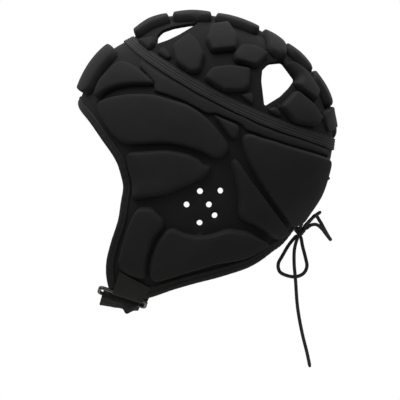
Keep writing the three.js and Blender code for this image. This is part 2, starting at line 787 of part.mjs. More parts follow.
const strapGeometry = new THREE.ExtrudeGeometry(strapShape, { depth: STRAP_WIDTH, bevelEnabled: false });
strapGeometry.translate(0, 0, -STRAP_WIDTH / 2);

// A cord along a route
function cordGeometry(route, steps) {
  const section = new THREE.Shape();
  section.absarc(0, 0, LACE / 2, 0, 2 * Math.PI);
  const extrudePath = new THREE.CatmullRomCurve3(route, false, "centripetal");
  const options = { steps, curveSegments: 4, bevelEnabled: false, extrudePath };
  return new THREE.ExtrudeGeometry(section, options);
}

const guard = new THREE.Group();
const crownSeat = reach(Math.PI / 2) - WALL;
guard.position.set(0, 0, -crownSeat);

function addPiece(parent, name, geometry, material) {
  const mesh = new THREE.Mesh(joined(geometry), material);
  mesh.name = name;
  parent.add(mesh);
}

const leftSide = new THREE.Group();
const rightSide = new THREE.Group();
rightSide.scale.y = -1;
guard.add(leftSide, rightSide, jawFrame, strapFrame);

function addBothSides(name, geometry, material) {
  addPiece(leftSide, `${name}_left`, geometry, material);
  addPiece(rightSide, `${name}_right`, geometry, material);
}

addBothSides("side_panel", geometryOf(sideWall), FABRIC);
addPiece(guard, "crown_web", geometryOf(crownWall), FABRIC);
addPiece(guard, "seam_tape", tapeGeometry, TAPED);
addPiece(guard, "face_binding", drawnAlong(faceStations, bindingSection), BOUND);
addBothSides("lower_binding", drawnAlong(lowerStations, bindingSection), BOUND);
for (const { name, round, height = PAD, corners } of SIDE_PADS) {
  const chartCorners = corners.map(([x, z]) => toChart(fromSide(x, z, height)));
  addBothSides(name, padGeometry(chartCorners, round, height, fromChart), FABRIC);
}
for (const { name, from, to, halfWidth, sweep, round } of MIDLINE_PADS) {
  const radius = reach(degrees((from + to) / 2)) + PAD;
  const [start, end, swept] = [from, to, sweep].map((angle) => degrees(angle) * radius);
  const corners = [
    [start + swept, -halfWidth],
    [end + swept, -halfWidth],
    [end, 0],
    [end + swept, halfWidth],
    [start + swept, halfWidth],
    [start, 0],
  ];
  const toSpot = ({ x, y }) => ({ bearing: x / radius, y });
  addPiece(guard, name, padGeometry(corners, round, PAD, toSpot), FABRIC);
}
addPiece(jawFrame, "jaw_tab", tabGeometry, WEBBED);
addPiece(jawFrame, "strap_ring", ringGeometry, PLASTIC);
addPiece(strapFrame, "chin_strap", strapGeometry, WEBBED);

// A spot just clear of the knot, in a direction from its middle
function offKnot(direction) {
  const way = new THREE.Vector3(...direction).normalize();
  const depth = 1 / Math.hypot(way.x / KNOT.halfX, way.y / KNOT.halfY, way.z / KNOT.halfZ);
  return new THREE.Vector3(KNOT.x, KNOT.y, KNOT.z).addScaledVector(way, depth + GAP / 2);
}

const laced = LACING.map(({ bearing, y, height }) => onHead({ bearing: degrees(bearing), y }, height));
const lacingRoute = [offKnot(LACING_ENDS.first), ...laced, offKnot(LACING_ENDS.last)];
addPiece(guard, "back_lacing", cordGeometry(lacingRoute, 36), CORDED);
const knotGeometry = new THREE.SphereGeometry(1, 10, 6).scale(KNOT.halfX, KNOT.halfY, KNOT.halfZ);
addPiece(guard, "lace_knot", knotGeometry.translate(KNOT.x, KNOT.y, KNOT.z), CORDED);
for (const { name, steps, leaves, route, returns } of BOW) {
  const points = [offKnot(leaves), ...route.map((at) => new THREE.Vector3(...at))];
  if (returns) {
    points.push(offKnot(returns));
  }
  addPiece(guard, name, cordGeometry(points, steps), CORDED);
}

export default guard;
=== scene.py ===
# %% [markdown]
# # A padded head guard for contact sport
# The guard is a soft cap: a thin foam wall cut to the shape of a head, with thicker foam pads
# moulded into it, a taped seam round the crown, bound edges, a strap under the chin and a lace
# at the nape. The solids of the part are loaded first. They give the frame that every piece is
# fitted to.

import math

import bmesh
import bpy
import numpy as np
from mathutils import Matrix, Vector
from mathutils.geometry import delaunay_2d_cdt


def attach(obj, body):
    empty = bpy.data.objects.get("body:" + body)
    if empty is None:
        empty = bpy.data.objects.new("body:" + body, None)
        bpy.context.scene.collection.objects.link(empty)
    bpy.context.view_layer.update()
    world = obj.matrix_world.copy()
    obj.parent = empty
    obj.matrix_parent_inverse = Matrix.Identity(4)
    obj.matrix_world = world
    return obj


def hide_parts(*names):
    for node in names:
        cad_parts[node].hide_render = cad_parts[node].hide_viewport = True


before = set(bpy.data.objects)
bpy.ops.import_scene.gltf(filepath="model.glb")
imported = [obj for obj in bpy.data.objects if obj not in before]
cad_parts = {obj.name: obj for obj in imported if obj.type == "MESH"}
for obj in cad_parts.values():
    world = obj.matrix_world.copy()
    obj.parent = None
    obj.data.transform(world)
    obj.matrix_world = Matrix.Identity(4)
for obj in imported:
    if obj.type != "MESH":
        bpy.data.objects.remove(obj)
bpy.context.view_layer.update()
bpy.ops.object.select_all(action="DESELECT")
print("solids:", len(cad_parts))

# %% [markdown]
# ## The camera
# The guard is seen square from its left side. A very long lens far away keeps the near and the
# far side in line, so that daylight shows through the ear holes and the vents of both sides.

# %% Camera
MM = 0.001
PICTURE_PIXELS = 400
MM_PER_PIXEL = 0.84
VIEW_CENTRE = (-3.36 * MM, -149.6 * MM)
CAMERA_DISTANCE = 8.0
SENSOR_WIDTH = 36.0

bpy.ops.object.camera_add(
    location=(VIEW_CENTRE[0], -CAMERA_DISTANCE, VIEW_CENTRE[1]), rotation=(math.pi / 2, 0, 0)
)
camera = bpy.context.object
camera.data.sensor_width = SENSOR_WIDTH
camera.data.lens = SENSOR_WIDTH * CAMERA_DISTANCE / (PICTURE_PIXELS * MM_PER_PIXEL * MM)
camera.data.clip_end = 100
bpy.context.scene.camera = camera
print("lens in mm:", round(camera.data.lens))

# %% [markdown]
# ## The head form
# All the soft pieces lie on one surface, the outer face of the thin wall. Its midline is a short
# table of bearings, in degrees from the back, and reaches from the head's centre. Every cross
# section is a slightly squared ellipse. Working from this surface, rather than from the solids'
# facets, keeps the cloth smooth at any fineness. Lengths are in millimetres until the points go
# into the part's frame.

# %% Head form
HALF_WIDTH = 77.0
ROUNDNESS = 2.4
CHART_RADIUS = 150.0
WALL = 2.5
GAP = 0.6
PROFILE = np.array(
    [
        (-34, 94.6), (-16, 99.4), (2, 106.8), (12, 111), (20, 111), (26, 112.8), (36, 113.5),
        (46, 114.6), (56, 114.4), (66, 115), (76, 116), (98, 119.8), (110, 120.9), (119, 118.5),
        (132, 120.5), (150, 116.6), (167, 112), (184, 113), (200, 118), (218, 151), (232, 170),
        (250, 166), (270, 153), (290, 131), (310, 102),
    ]
)


def reach(bearing):
    """Distance from the head centre to the wall's outer face on the midline."""
    first = PROFILE[0, 0]
    count = len(PROFILE)
    turn = (np.degrees(np.asarray(bearing, float)) - first) % 360
    row = np.searchsorted(PROFILE[:, 0] - first, turn, side="right") - 1

    def knot(index):
        """Bearing and reach of a row of the table, counted on past its ends."""
        lap = np.floor_divide(index, count)
        at, far = PROFILE[index - lap * count].T
        return at.T - first + 360 * lap, far.T

    (at_a, far_a), (at_b, far_b), (at_c, far_c), (at_d, far_d) = (knot(row + k) for k in (-1, 0, 1, 2))
    span = at_c - at_b
    slope_b = span * (far_c - far_a) / (at_c - at_a)
    slope_c = span * (far_d - far_b) / (at_d - at_b)
    t = (turn - at_b) / span
    rise = t * t * (3 - 2 * t)
    return far_b * (1 - rise) + far_c * rise + t * (1 - t) * (slope_b * (1 - t) - slope_c * t)


def outward(bearing, y):
    """Unit direction out of the wall."""
    step = 0.01
    side = np.minimum(np.abs(y) / HALF_WIDTH, 1)
    share = (1 - side**ROUNDNESS) ** (1 / ROUNDNESS)
    far = reach(bearing)
    slope = (reach(bearing + step) - reach(bearing - step)) / (2 * step)
    pull = share ** (ROUNDNESS - 1) / far
    lean = pull * slope / far
    way = np.stack(
        [
            pull * np.cos(bearing) + lean * np.sin(bearing),
            np.sign(y) * side ** (ROUNDNESS - 1) / HALF_WIDTH,
            pull * np.sin(bearing) - lean * np.cos(bearing),
        ],
        axis=-1,
    )
    return way / np.linalg.norm(way, axis=-1, keepdims=True)


def on_head(bearing, y, height=0.0):
    """Points at a height above the wall's outer face, in millimetres from the head centre."""
    bearing, y, height = np.broadcast_arrays(np.asarray(bearing, float), y, height)
    side = np.minimum(np.abs(y) / HALF_WIDTH, 1)
    radius = (1 - side**ROUNDNESS) ** (1 / ROUNDNESS) * reach(bearing)
    base = np.stack([radius * np.cos(bearing), y, radius * np.sin(bearing)], axis=-1)
    return base + height[..., None] * outward(bearing, y)


def from_side(x, z, height=0.0):
    """Spot on the left side that is seen at x, z from the side."""
    x, z = np.asarray(x, float), np.asarray(z, float)
    bearing = np.arctan2(z, x)
    share = np.minimum(np.hypot(x, z) / (reach(bearing) + height), 1)
    return bearing, -HALF_WIDTH * (1 - share**ROUNDNESS) ** (1 / ROUNDNESS)


def under(points):
    """Spot on the wall below points in space."""
    return np.arctan2(points[:, 2], points[:, 0]), points[:, 1]


print("half width of the wall in mm:", HALF_WIDTH)

# %% [markdown]
# Outlines, holes and triangles are easier to work out on a plane. So the left side is also spread
# out flat, on a chart whose middle is the ear and whose rim is the midline, and finished points
# go from the chart back onto the head.

# %% Flat chart


def to_chart(bearing, y):
    """Flat chart of one side, spread out round the ear."""
    latitude = np.arcsin((np.abs(y) / HALF_WIDTH) ** (ROUNDNESS / 2))
    radius = CHART_RADIUS * (1 - latitude / (np.pi / 2))
    return np.stack([radius * np.cos(bearing), radius * np.sin(bearing)], axis=-1)


def from_chart(points):
    """Spot on the left side for points of the chart."""
    share = 1 - np.hypot(points[:, 0], points[:, 1]) / CHART_RADIUS
    latitude = np.pi / 2 * np.clip(share, 0, 1)
    y = -HALF_WIDTH * np.sin(latitude) ** (2 / ROUNDNESS)
    return np.arctan2(points[:, 1], points[:, 0]), np.where(share < 1e-9, 0.0, y)


def chart_scale(points):
    """Millimetres on the head for one millimetre on the chart."""
    step = 0.05
    inset = 0.995
    inner = points * inset
    here, right, up = (on_head(*from_chart(inner + shift)) for shift in ((0, 0), (step, 0), (0, step)))
    return np.sqrt(np.linalg.norm(np.cross(right - here, up - here), axis=1)) / step


CROWN_SEAT = float(reach(np.pi / 2)) - WALL


def in_frame(points):
    """Head-centred millimetres to the part's frame in metres."""
    return (np.asarray(points, float) - (0, 0, CROWN_SEAT)) * MM


print("crown seat above the head centre, mm:", round(CROWN_SEAT, 2))

# %% [markdown]
# ## Lines on the head
# Edges, seams and cords are smooth curves through a few points. They are cut into even steps, so
# that the pieces drawn along them have even faces.

# %% Curves
CURVE_FINENESS = 24


def smooth_curve(points, loop=False):
    """Centripetal curve through points."""
    points = np.asarray(points, float)
    if loop:
        ends = np.concatenate([points[-1:], points, points[:2]])
    else:
        before = 2 * points[:1] - points[1:2]
        after = 2 * points[-1:] - points[-2:-1]
        ends = np.concatenate([before, points, after])
    out = []
    for a, b, c, d in zip(ends, ends[1:], ends[2:], ends[3:]):
        one, two, three = (max(np.linalg.norm(q - p), 1e-6) ** 0.5 for p, q in ((a, b), (b, c), (c, d)))
        start = ((b - a) / one - (c - a) / (one + two) + (c - b) / two) * two
        stop = ((c - b) / two - (d - b) / (two + three) + (d - c) / three) * two
        t = np.arange(CURVE_FINENESS)[:, None] / CURVE_FINENESS
        rise = t * t * (3 - 2 * t)
        bend = t * (1 - t) * ((1 - t) * start - t * stop)
        out.append(b * (1 - rise) + c * rise + bend)
    if not loop:
        out.append(points[-1:])
    return np.concatenate(out)


def plain_curve(points, samples):
    """Evenly weighted curve through flat points, held at its ends."""
    points = np.asarray(points, float)
    last = len(points) - 1
    at = np.asarray(samples, float) * last
    i = np.minimum(at.astype(int), last - 1)
    t = (at - i)[:, None]
    a, b, c, d = (points[np.clip(i + k, 0, last)] for k in (-1, 0, 1, 2))
    start, stop = (c - a) / 2, (d - b) / 2
    cubic = 2 * b - 2 * c + start + stop
    square = 3 * c - 3 * b - 2 * start - stop
    return cubic * t**3 + square * t**2 + start * t + b


def travel_of(points, loop=False):
    """Distance along a line at each of its points."""
    line = np.concatenate([points, points[:1]]) if loop else points
    return np.concatenate([[0], np.cumsum(np.linalg.norm(np.diff(line, axis=0), axis=1))])


def even_points(points, spacing, loop=False):
    """Points spaced evenly along a line."""
    line = np.concatenate([points, points[:1]]) if loop else points
    travel = travel_of(line)
    count = max(round(travel[-1] / spacing), 2)
    marks = np.linspace(0, travel[-1], count + 1)
    if loop:
        marks = marks[:-1]
    return np.stack([np.interp(marks, travel, column) for column in line.T], axis=1)


def turns(count):
    """Angles spaced evenly round a circle."""
    return 2 * np.pi * np.arange(count) / count


def unit(vectors):
    """Vectors of length one."""
    return vectors / np.linalg.norm(vectors, axis=-1, keepdims=True)


def directions(points, loop=False):
    """Direction of a line at each of its points."""
    if loop:
        return unit(np.roll(points, -1, 0) - np.roll(points, 1, 0))
    return unit(np.gradient(points, axis=0))


def stations_on_head(points, spacing, loop=False, turn=1):
    """Even stations along a route on the wall: points, ways out of it and ways across the route."""
    line = even_points(smooth_curve(points, loop), spacing, loop)
    spots = under(line)
    place = on_head(*spots)
    out = outward(*spots)
    across = unit(np.cross(directions(place, loop), out)) * turn
    return place, out, across


trial_curve = smooth_curve([(0, 0), (10, 0), (10, 10)])
print("length of a curve round a 10 mm corner:", round(travel_of(trial_curve)[-1], 1))

# %% [markdown]
# ## Meshes from stations
# A strip, a bead or a cord is one cross section carried along a line. The functions below join
# the sections into a closed mesh, and give it a map in metres: across the section, and along the
# line. The weave of straps and the braid of cords follow that map.

# %% Meshes


def new_piece(name, points, faces, corner_map):
    """Object at the origin from head-centred millimetres."""
    mesh = bpy.data.meshes.new(name)
    mesh.from_pydata(in_frame(points).tolist(), [], faces)
    mesh.uv_layers.new(name="Cloth")
    mesh.uv_layers["Cloth"].data.foreach_set("uv", np.asarray(corner_map, float).ravel())
    shape = bmesh.new()
    shape.from_mesh(mesh)
    bmesh.ops.recalc_face_normals(shape, faces=shape.faces)
    shape.to_mesh(mesh)
    shape.free()
    piece = bpy.data.objects.new(name, mesh)
    bpy.context.collection.objects.link(piece)
    return piece


def ringed(name, rings, width_map, length_map, loop=False):
    """Closed mesh through rings of points, with a map across the rings and along them."""
    rows, size = rings.shape[:2]
    faces, corners = [], []
    for i in range(rows if loop else rows - 1):
        here, after = i * size, (i + 1) % rows * size
        for j in range(size):
            k = (j + 1) % size
            faces.append((here + j, here + k, after + k, after + j))
            u, u_next = width_map[j], width_map[j + 1]
            v, v_next = length_map[i], length_map[i + 1]
            corners += [(u, v), (u_next, v), (u_next, v_next), (u, v_next)]
    if not loop:
        last = (rows - 1) * size
        faces += [tuple(range(size)), tuple(range(last, last + size))]
        corners += [(w, length_map[0]) for w in width_map[:-1]]
        corners += [(w, length_map[-1]) for w in width_map[:-1]]
    return new_piece(name, rings.reshape(-1, 3), faces, corners)


def drawn_along(name, stations, section, loop=False):
    """Closed strip with a section [across, out], one for all stations or one for each."""
    place, out, across = stations
    section = np.asarray(section, float)
    if section.ndim == 2:
        section = np.broadcast_to(section, (len(place), *section.shape))
    rings = place[:, None] + across[:, None] * section[..., :1] + out[:, None] * section[..., 1:]
    width_map = travel_of(section[len(place) // 2], loop=True) * MM
    return ringed(name, rings, width_map, travel_of(place, loop) * MM, loop)


def dressed(piece, material, slot, *nodes, sharp=50):
    """Gives a piece its finish, its body and the solids that it stands for."""
    piece.data.materials.clear()
    piece.data.materials.append(material)
    bpy.ops.object.select_all(action="DESELECT")
    piece.select_set(True)
    bpy.context.view_layer.objects.active = piece
    bpy.ops.object.shade_smooth_by_angle(angle=math.radians(sharp))
    piece.select_set(False)
    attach(piece, "root")
    if nodes:
        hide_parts(*nodes)
    triangles = sum(len(face.vertices) - 2 for face in piece.data.polygons)
    print(piece.name, "triangles:", triangles)
    return piece


# %% [markdown]
# ## Materials
# Everything here is black, so the materials differ in how they take light: a matt knit, a satin
# tape, a stretch binding, woven webbing, moulded plastic and a braided cord. Colours are written
# as they look on a screen, and one function turns them into the linear values that light needs.

# %% Material helpers
WAVE_REPEAT = 2 * math.pi / 20


def linear(colour):
    """Linear colour from a hex value."""
    parts = [int(colour[i : i + 2], 16) / 255 for i in (1, 3, 5)]
    return (*(p / 12.92 if p <= 0.04045 else ((p + 0.055) / 1.055) ** 2.4 for p in parts), 1.0)


def feed(node, inputs):
    """Sets a node's inputs: each is a value, or the socket that feeds it."""
    for name, value in inputs.items():
        if isinstance(value, bpy.types.NodeSocket):
            node.id_data.links.new(value, node.inputs[name])
        else:
            node.inputs[name].default_value = value


def add_node(tree, kind, settings=None, inputs=None):
    """Adds a node with its settings and inputs."""
    made = tree.nodes.new(kind)
    for name, value in (settings or {}).items():
        setattr(made, name, value)
    feed(made, inputs or {})
    return made


def new_material(name):
    """Material with its tree and shader."""
    material = bpy.data.materials.new(name)
    material.use_nodes = True
    return material, material.node_tree, material.node_tree.nodes["Principled BSDF"]


def cloth_map(tree):
    """The piece's own map, in metres."""
    return add_node(tree, "ShaderNodeUVMap", {"uv_map": "Cloth"}).outputs["UV"]


def bands(tree, vector, way, period, distortion, detail=2.0):
    """Waves along one way of a map, which repeat after a length in metres."""
    wave = add_node(
        tree,
        "ShaderNodeTexWave",
        {"wave_type": "BANDS", "bands_direction": way},
        {"Vector": vector, "Scale": WAVE_REPEAT / period, "Distortion": distortion, "Detail": detail},
    )
    return wave.outputs["Fac"]


def noise(tree, size, detail):
    """Unevenness that is fixed to the piece, in lumps of a size in metres."""
    place = add_node(tree, "ShaderNodeTexCoord").outputs["Object"]
    lumps = add_node(
        tree, "ShaderNodeTexNoise", inputs={"Vector": place, "Scale": 1 / size, "Detail": detail}
    )
    return lumps.outputs["Fac"]


def combine(tree, operation, one, other):
    """One value from two."""
    return add_node(tree, "ShaderNodeMath", {"operation": operation}, {0: one, 1: other}).outputs[0]


def blend(tree, share, first, second):
    """Colour between two, by a share."""
    inputs = {"Factor": share, "A": first, "B": second}
    return add_node(tree, "ShaderNodeMix", {"data_type": "RGBA"}, inputs).outputs["Result"]


def bump(tree, height, strength, depth, base=None):
    """Relief of a surface, laid over another relief where one is given."""
    inputs = {"Height": height, "Strength": strength, "Distance": depth}
    if base is not None:
        inputs["Normal"] = base
    return add_node(tree, "ShaderNodeBump", inputs=inputs).outputs["Normal"]


print("one grey in linear light:", round(linear("#808080")[0], 3))

# %% [markdown]
# The pads and walls are covered in a fine polyester knit, laminated to foam. A knit has columns
# of stitches about a millimetre apart, which are too fine to see from a distance but soften the
# light. Two crossed waves on the cloth's own map give them, and a slow noise gives the faint
# unevenness of cloth glued to foam. Between the pads the colour is painted darker, as painted
# shade for the shade that falls in the grooves: the skins carry a value for those low parts,
# and the colour follows it.

# %% Knit cover
KNIT_COLUMN = 1.1 * MM
KNIT_ROW = 0.8 * MM
MOTTLE = 14 * MM
knit_cover, tree, shader = new_material("polyester knit over foam")
cloth = cloth_map(tree)
columns = bands(tree, cloth, "X", KNIT_COLUMN, distortion=0.6, detail=1.0)
rows = bands(tree, cloth, "Y", KNIT_ROW, distortion=0.8, detail=1.0)
stitches = combine(tree, "MULTIPLY", columns, rows)
mottle = noise(tree, MOTTLE, detail=5.0)
tone = blend(tree, mottle, linear("#191919"), linear("#1f1f1f"))
# Painted shade: the skins' value darkens the low cover between the pads towards #101010, in place of the
# shade in the grooves.
painted_shade = add_node(tree, "ShaderNodeAttribute", {"attribute_name": "painted_shade"}).outputs["Fac"]
swell = bump(tree, mottle, strength=0.25, depth=0.5 * MM)
feed(
    shader,
    {
        "Base Color": blend(tree, painted_shade, tone, linear("#101010")),
        "Normal": bump(tree, stitches, strength=0.3, depth=0.12 * MM, base=swell),
        "Roughness": 0.72,
        "Specular IOR Level": 0.1,
        "Sheen Weight": 0.02,
        "Sheen Roughness": 0.45,
    },
)
print(knit_cover.name)

# %% [markdown]
# The tape, the binding of the edges, the tab and the strap are woven, and so is the sewing thread
# near enough. Warp threads run along a strip and finer weft threads across it. The tape is paler
# and smoother than the knit, which is why it stands out, and the strap's pile is the roughest.

# %% Tape, binding and webbing
WARP_SHARE = 1.4
WEAR = 6 * MM


def woven(name, dark, light, thread, roughness, depth, specular=0.15):
    """Woven cloth whose threads run across and along the strip's own map."""
    material, tree, shader = new_material(name)
    cloth = cloth_map(tree)
    weft = bands(tree, cloth, "Y", thread, distortion=0.4)
    warp = bands(tree, cloth, "X", WARP_SHARE * thread, distortion=0.4)
    threads = combine(tree, "MULTIPLY", weft, warp)
    feed(
        shader,
        {
            "Base Color": blend(tree, noise(tree, WEAR, detail=4.0), linear(dark), linear(light)),
            "Normal": bump(tree, threads, strength=0.5, depth=depth),
            "Roughness": roughness,
            "Specular IOR Level": specular,
            "Sheen Weight": 0.02,
        },
    )
    print(material.name)
    return material


seam_nylon = woven(
    "satin nylon tape", "#262626", "#2f2f2f",
    thread=0.7 * MM, roughness=0.62, depth=0.1 * MM, specular=0.07,
)
edge_binding = woven(
    "stretch nylon binding", "#121212", "#1c1b1a", thread=0.8 * MM, roughness=0.65, depth=0.12 * MM
)
webbing = woven("nylon webbing", "#191918", "#222220", thread=1.3 * MM, roughness=0.7, depth=0.25 * MM)
hook_and_loop = woven(
    "hook and loop strap", "#151514", "#272625", thread=0.9 * MM, roughness=0.85, depth=0.6 * MM
)
thread = woven("polyester thread", "#242424", "#2d2d2d", thread=0.4 * MM, roughness=0.55, depth=0.05 * MM)

# %% [markdown]
# The ring is moulded from nylon, smooth and a little glossy. The lace is a round braid: two sets
# of strands wound opposite ways, so two slanting waves on the cord's map cross each other.

# %% Ring plastic and lace braid
SCUFF = 1.5 * MM
BRAID_PITCH = 2.4 * MM
ring_plastic, tree, shader = new_material("moulded nylon")
scuffs = noise(tree, SCUFF, detail=6.0)
gloss = add_node(tree, "ShaderNodeMapRange", inputs={"Value": scuffs, "To Min": 0.18, "To Max": 0.34})
feed(shader, {"Base Color": linear("#161616"), "Roughness": gloss.outputs["Result"], "IOR": 1.53})

lace_braid, tree, shader = new_material("braided polyester lace")
strands = []
for slant in (45, -45):
    turn = {"Vector": cloth_map(tree), "Rotation": (0, 0, math.radians(slant))}
    turned = add_node(tree, "ShaderNodeMapping", inputs=turn)
    strands.append(bands(tree, turned.outputs["Vector"], "X", BRAID_PITCH / 2, distortion=0.2))
crossing = combine(tree, "MAXIMUM", *strands)
feed(
    shader,
    {
        "Base Color": blend(tree, crossing, linear("#0f0f0f"), linear("#323232")),
        "Normal": bump(tree, crossing, strength=0.8, depth=0.3 * MM),
        "Roughness": 0.75,
        "Specular IOR Level": 0.15,
        "Sheen Weight": 0.01,
    },
)
print(ring_plastic.name, lace_braid.name)

# %% [markdown]
# ## The lace
# One round lace, three millimetres thick, is laced through three pairs of holes at the back and
# tied in a bow that hangs free. Each stretch is a tube drawn along its route, with its ends
# rounded over. The knot is a closed tied loop, of lace spread a little by the pull. The lacing is
# listed by bearing in degrees, place across and height above the wall; the bow by points in space.

# %% Lace routes
LACE = 3.0
KNOT_CENTRE = np.array([80.6, 0, -59.6])
KNOT_HALF = np.array([4.6, 4.2, 3.8])
KNOT_LACE = 3.7
LACING_BEARINGS = (-8, -18, -28)
LACE_HOLE_OFFSET = 12
LACE_HOLE = 7.2
CORD_SIDES = 12
CORD_STEP = 1.2
END_GIRTHS = (0.55, 0.9)
FIRST_SIDE = (0.3, 1.0, 0.2)
LACING = [
    (-31, -8, 2.8), (-28.6, -11, 2.8), (-28, -12, -1.2), (-26, -12, -5.2), (-20, -12, -5.2),
    (-18, -12, -1.2), (-18, -10, 2.9), (-18, 0, 2), (-18, 10, 2.9), (-18, 12, -1.2),
    (-16, 12, -5.2), (-10, 12, -5.2), (-8, 12, -1.2), (-8, 10, 2.9), (-8, 0, 2), (-8, -10, 2.9),
    (-8, -12, -1.2), (-9.5, -11, -5.2), (-18, 0, -5.2), (-26.5, 11, -5.2), (-28, 12, -1.2),
    (-28.6, 11, 2.8), (-31, 8, 2.8),
]
BOW = {
    "lace_loop_near": {
        "leaves": (-9, 0.5, -12),
        "route": [
            (71.5, -1.5, -71), (65.8, -3, -80.5), (62.3, -3, -87.5), (63.6, -3, -93.8),
            (70, -3, -97.2), (77.3, -3, -98), (83.6, -3, -95.2), (86.4, -3, -89.5),
            (85.2, -2.5, -82), (82.8, -1.5, -72.5),
        ],
        "returns": (2.3, 0, -14),
    },
    "lace_tail_near": {
        "leaves": (-1.5, -6, -6),
        "route": [
            (77.6, -7.5, -68), (75.9, -8.5, -75), (75.6, -8, -86), (76.8, -8, -101),
            (78.5, -7, -123.5), (82.3, -6, -145), (86.5, -5, -162), (89, -5, -174),
        ],
    },
    "lace_loop_far": {
        "leaves": (9, 0.5, 2.5),
        "route": [
            (89.6, 2, -54.8), (94.5, 3, -54.3), (99, 4, -57.6), (103, 6, -62.8),
            (106.3, 10, -66.8), (104.8, 14, -64.5), (101.6, 16, -58.8), (97.4, 16, -51.2),
            (94, 14, -46.6), (90.3, 10, -49.8),
        ],
        "returns": (7.5, 7, 5),
    },
    "lace_tail_far": {
        "leaves": (7.5, -5, 7.5),
        "route": [(88.2, -6, -51.5), (91.2, -11, -48.5), (94.2, -17, -46), (97.6, -24.2, -43.6)],
    },
}


def off_knot(direction):
    """Spot just clear of the knot, in a direction from its middle."""
    way = unit(np.asarray(direction, float))
    return KNOT_CENTRE + way * (1 / np.linalg.norm(way / KNOT_HALF) + GAP / 2)


def tube_stations(line, loop=False):
    """Stations along a line in space whose cross directions turn as little as they can."""
    along = directions(line, loop)
    across = np.zeros_like(line)
    side = np.cross(along[0], FIRST_SIDE)
    for i, way in enumerate(along):
        side = side - way * np.dot(side, way)
        side = side / np.linalg.norm(side)
        across[i] = side
    return line, np.cross(along, across), across


def round_section(diameter):
    """Ring of points round a cord."""
    angle = turns(CORD_SIDES)
    return diameter / 2 * np.stack([np.cos(angle), np.sin(angle)], axis=1)


def cord_piece(name, line):
    """Tube along a line, its ends rounded over."""
    girths = np.ones(len(line))
    for i, girth in enumerate(END_GIRTHS):
        girths[[i, -1 - i]] = girth
    return drawn_along(name, tube_stations(line), round_section(LACE) * girths[:, None, None])


print("lace stretches:", len(BOW) + 1)

# %% Lace pieces
TREFOIL = np.array([2.7, 1.4, 2.7])
knot_turn = np.linspace(0, 2 * np.pi, 97)[:-1]
trefoil = np.stack(
    [
        np.sin(knot_turn) + 2 * np.sin(2 * knot_turn),
        TREFOIL[1] * -np.sin(3 * knot_turn),
        np.cos(knot_turn) - 2 * np.cos(2 * knot_turn),
    ],
    axis=1,
)
knot_line = KNOT_CENTRE + trefoil * (KNOT_HALF - LACE / 2) / TREFOIL
knot_stations = tube_stations(knot_line, loop=True)
knot = drawn_along("lace_knot_tied", knot_stations, round_section(KNOT_LACE), loop=True)
dressed(knot, lace_braid, "lace_cord", "lace_knot")

routes = {}
for name, bow in BOW.items():
    route = [off_knot(bow["leaves"]), *bow["route"]]
    if "returns" in bow:
        route.append(off_knot(bow["returns"]))
    routes[name] = route
lacing_bearing, lacing_y, lacing_height = np.array(LACING, float).T
laced = on_head(np.radians(lacing_bearing), lacing_y, lacing_height)
routes["back_lacing"] = [off_knot((0, -5, 4)), *laced, off_knot((0, 5, 4))]

for name, route in routes.items():
    line = even_points(smooth_curve(route), CORD_STEP)
    cord = dressed(cord_piece(name + "_braid", line), lace_braid, "lace_cord", name)

# %% [markdown]
# ## Pads
# The pads are heat-moulded foam: flat on top with a slight swell, a rounded edge and steep sides.
# Inflating each one would make pillows of them, so their height is worked out instead, from how
# far a point lies inside the pad's outline. Outlines are given by corners seen from the side. A
# pad on the midline is given by bearings in degrees, its half width and the sweep of its ends.

# %% Pad outlines
PAD = 7.5
SIDE_PADS = {
    "forehead_side_pad": {
        "round": 8,
        "corners": [
            (-72, 86), (-60, 81), (-44, 67.5), (-47, 64.5), (-66, 65.3),
            (-82, 61.5), (-95.5, 51.5), (-91, 67), (-82, 77),
        ],
    },
    "temple_pad": {
        "round": 14,
        "corners": [
            (-93, 50), (-75, 56), (-45, 57), (-20, 50), (1, 38), (21, 14), (21, 6),
            (10, 0), (-8, 10), (-33, 16), (-66, 13), (-77, 19), (-88, 34),
        ],
    },
    "cheek_pad": {
        "round": 5,
        "held": "edges",
        "corners": [
            (-68, 5.5), (-33, 8), (-12, 4), (6, -6), (2, -13),
            (-12, -20), (-33, -30), (-62.8, -35.5), (-64, -17),
        ],
    },
    "jaw_front_pad": {
        "round": 4,
        "held": "edges",
        "corners": [
            (-57.5, -42.5), (-43, -42.5), (-32, -54), (-44, -67), (-50, -86),
            (-51.2, -103.6), (-74.3, -94), (-69, -71), (-62.5, -52),
        ],
    },
    "jaw_rear_pad": {
        "round": 5,
        "held": "edges",
        "corners": [
            (-29, -58), (-18, -65), (1, -67), (20, -61), (39, -65), (56.5, -76), (34, -86.6),
            (9, -90), (-16, -97.4), (-30, -102.2), (-44.6, -106), (-46.6, -97), (-45.6, -87), (-39, -69),
        ],
    },
    "behind_ear_pad": {
        "round": 7,
        "held": "edges",
        "corners": [
            (23, 0), (29, 0), (49, -29), (72, -61.5), (72.5, -66.5), (64, -71), (49, -60), (29, -51),
            (32, -34), (29, -15),
        ],
    },
    "occipital_pad": {
        "round": 7,
        "corners": [
            (34, 24), (72, 12), (109.5, 1), (101.8, -27.5),
            (85.7, -53.2), (76.5, -59.5), (49, -18), (34, 8),
        ],
    },
    "wedge_pad": {"round": 3, "corners": [(8, 39), (31, 29), (29, 19), (24, 18)]},
}
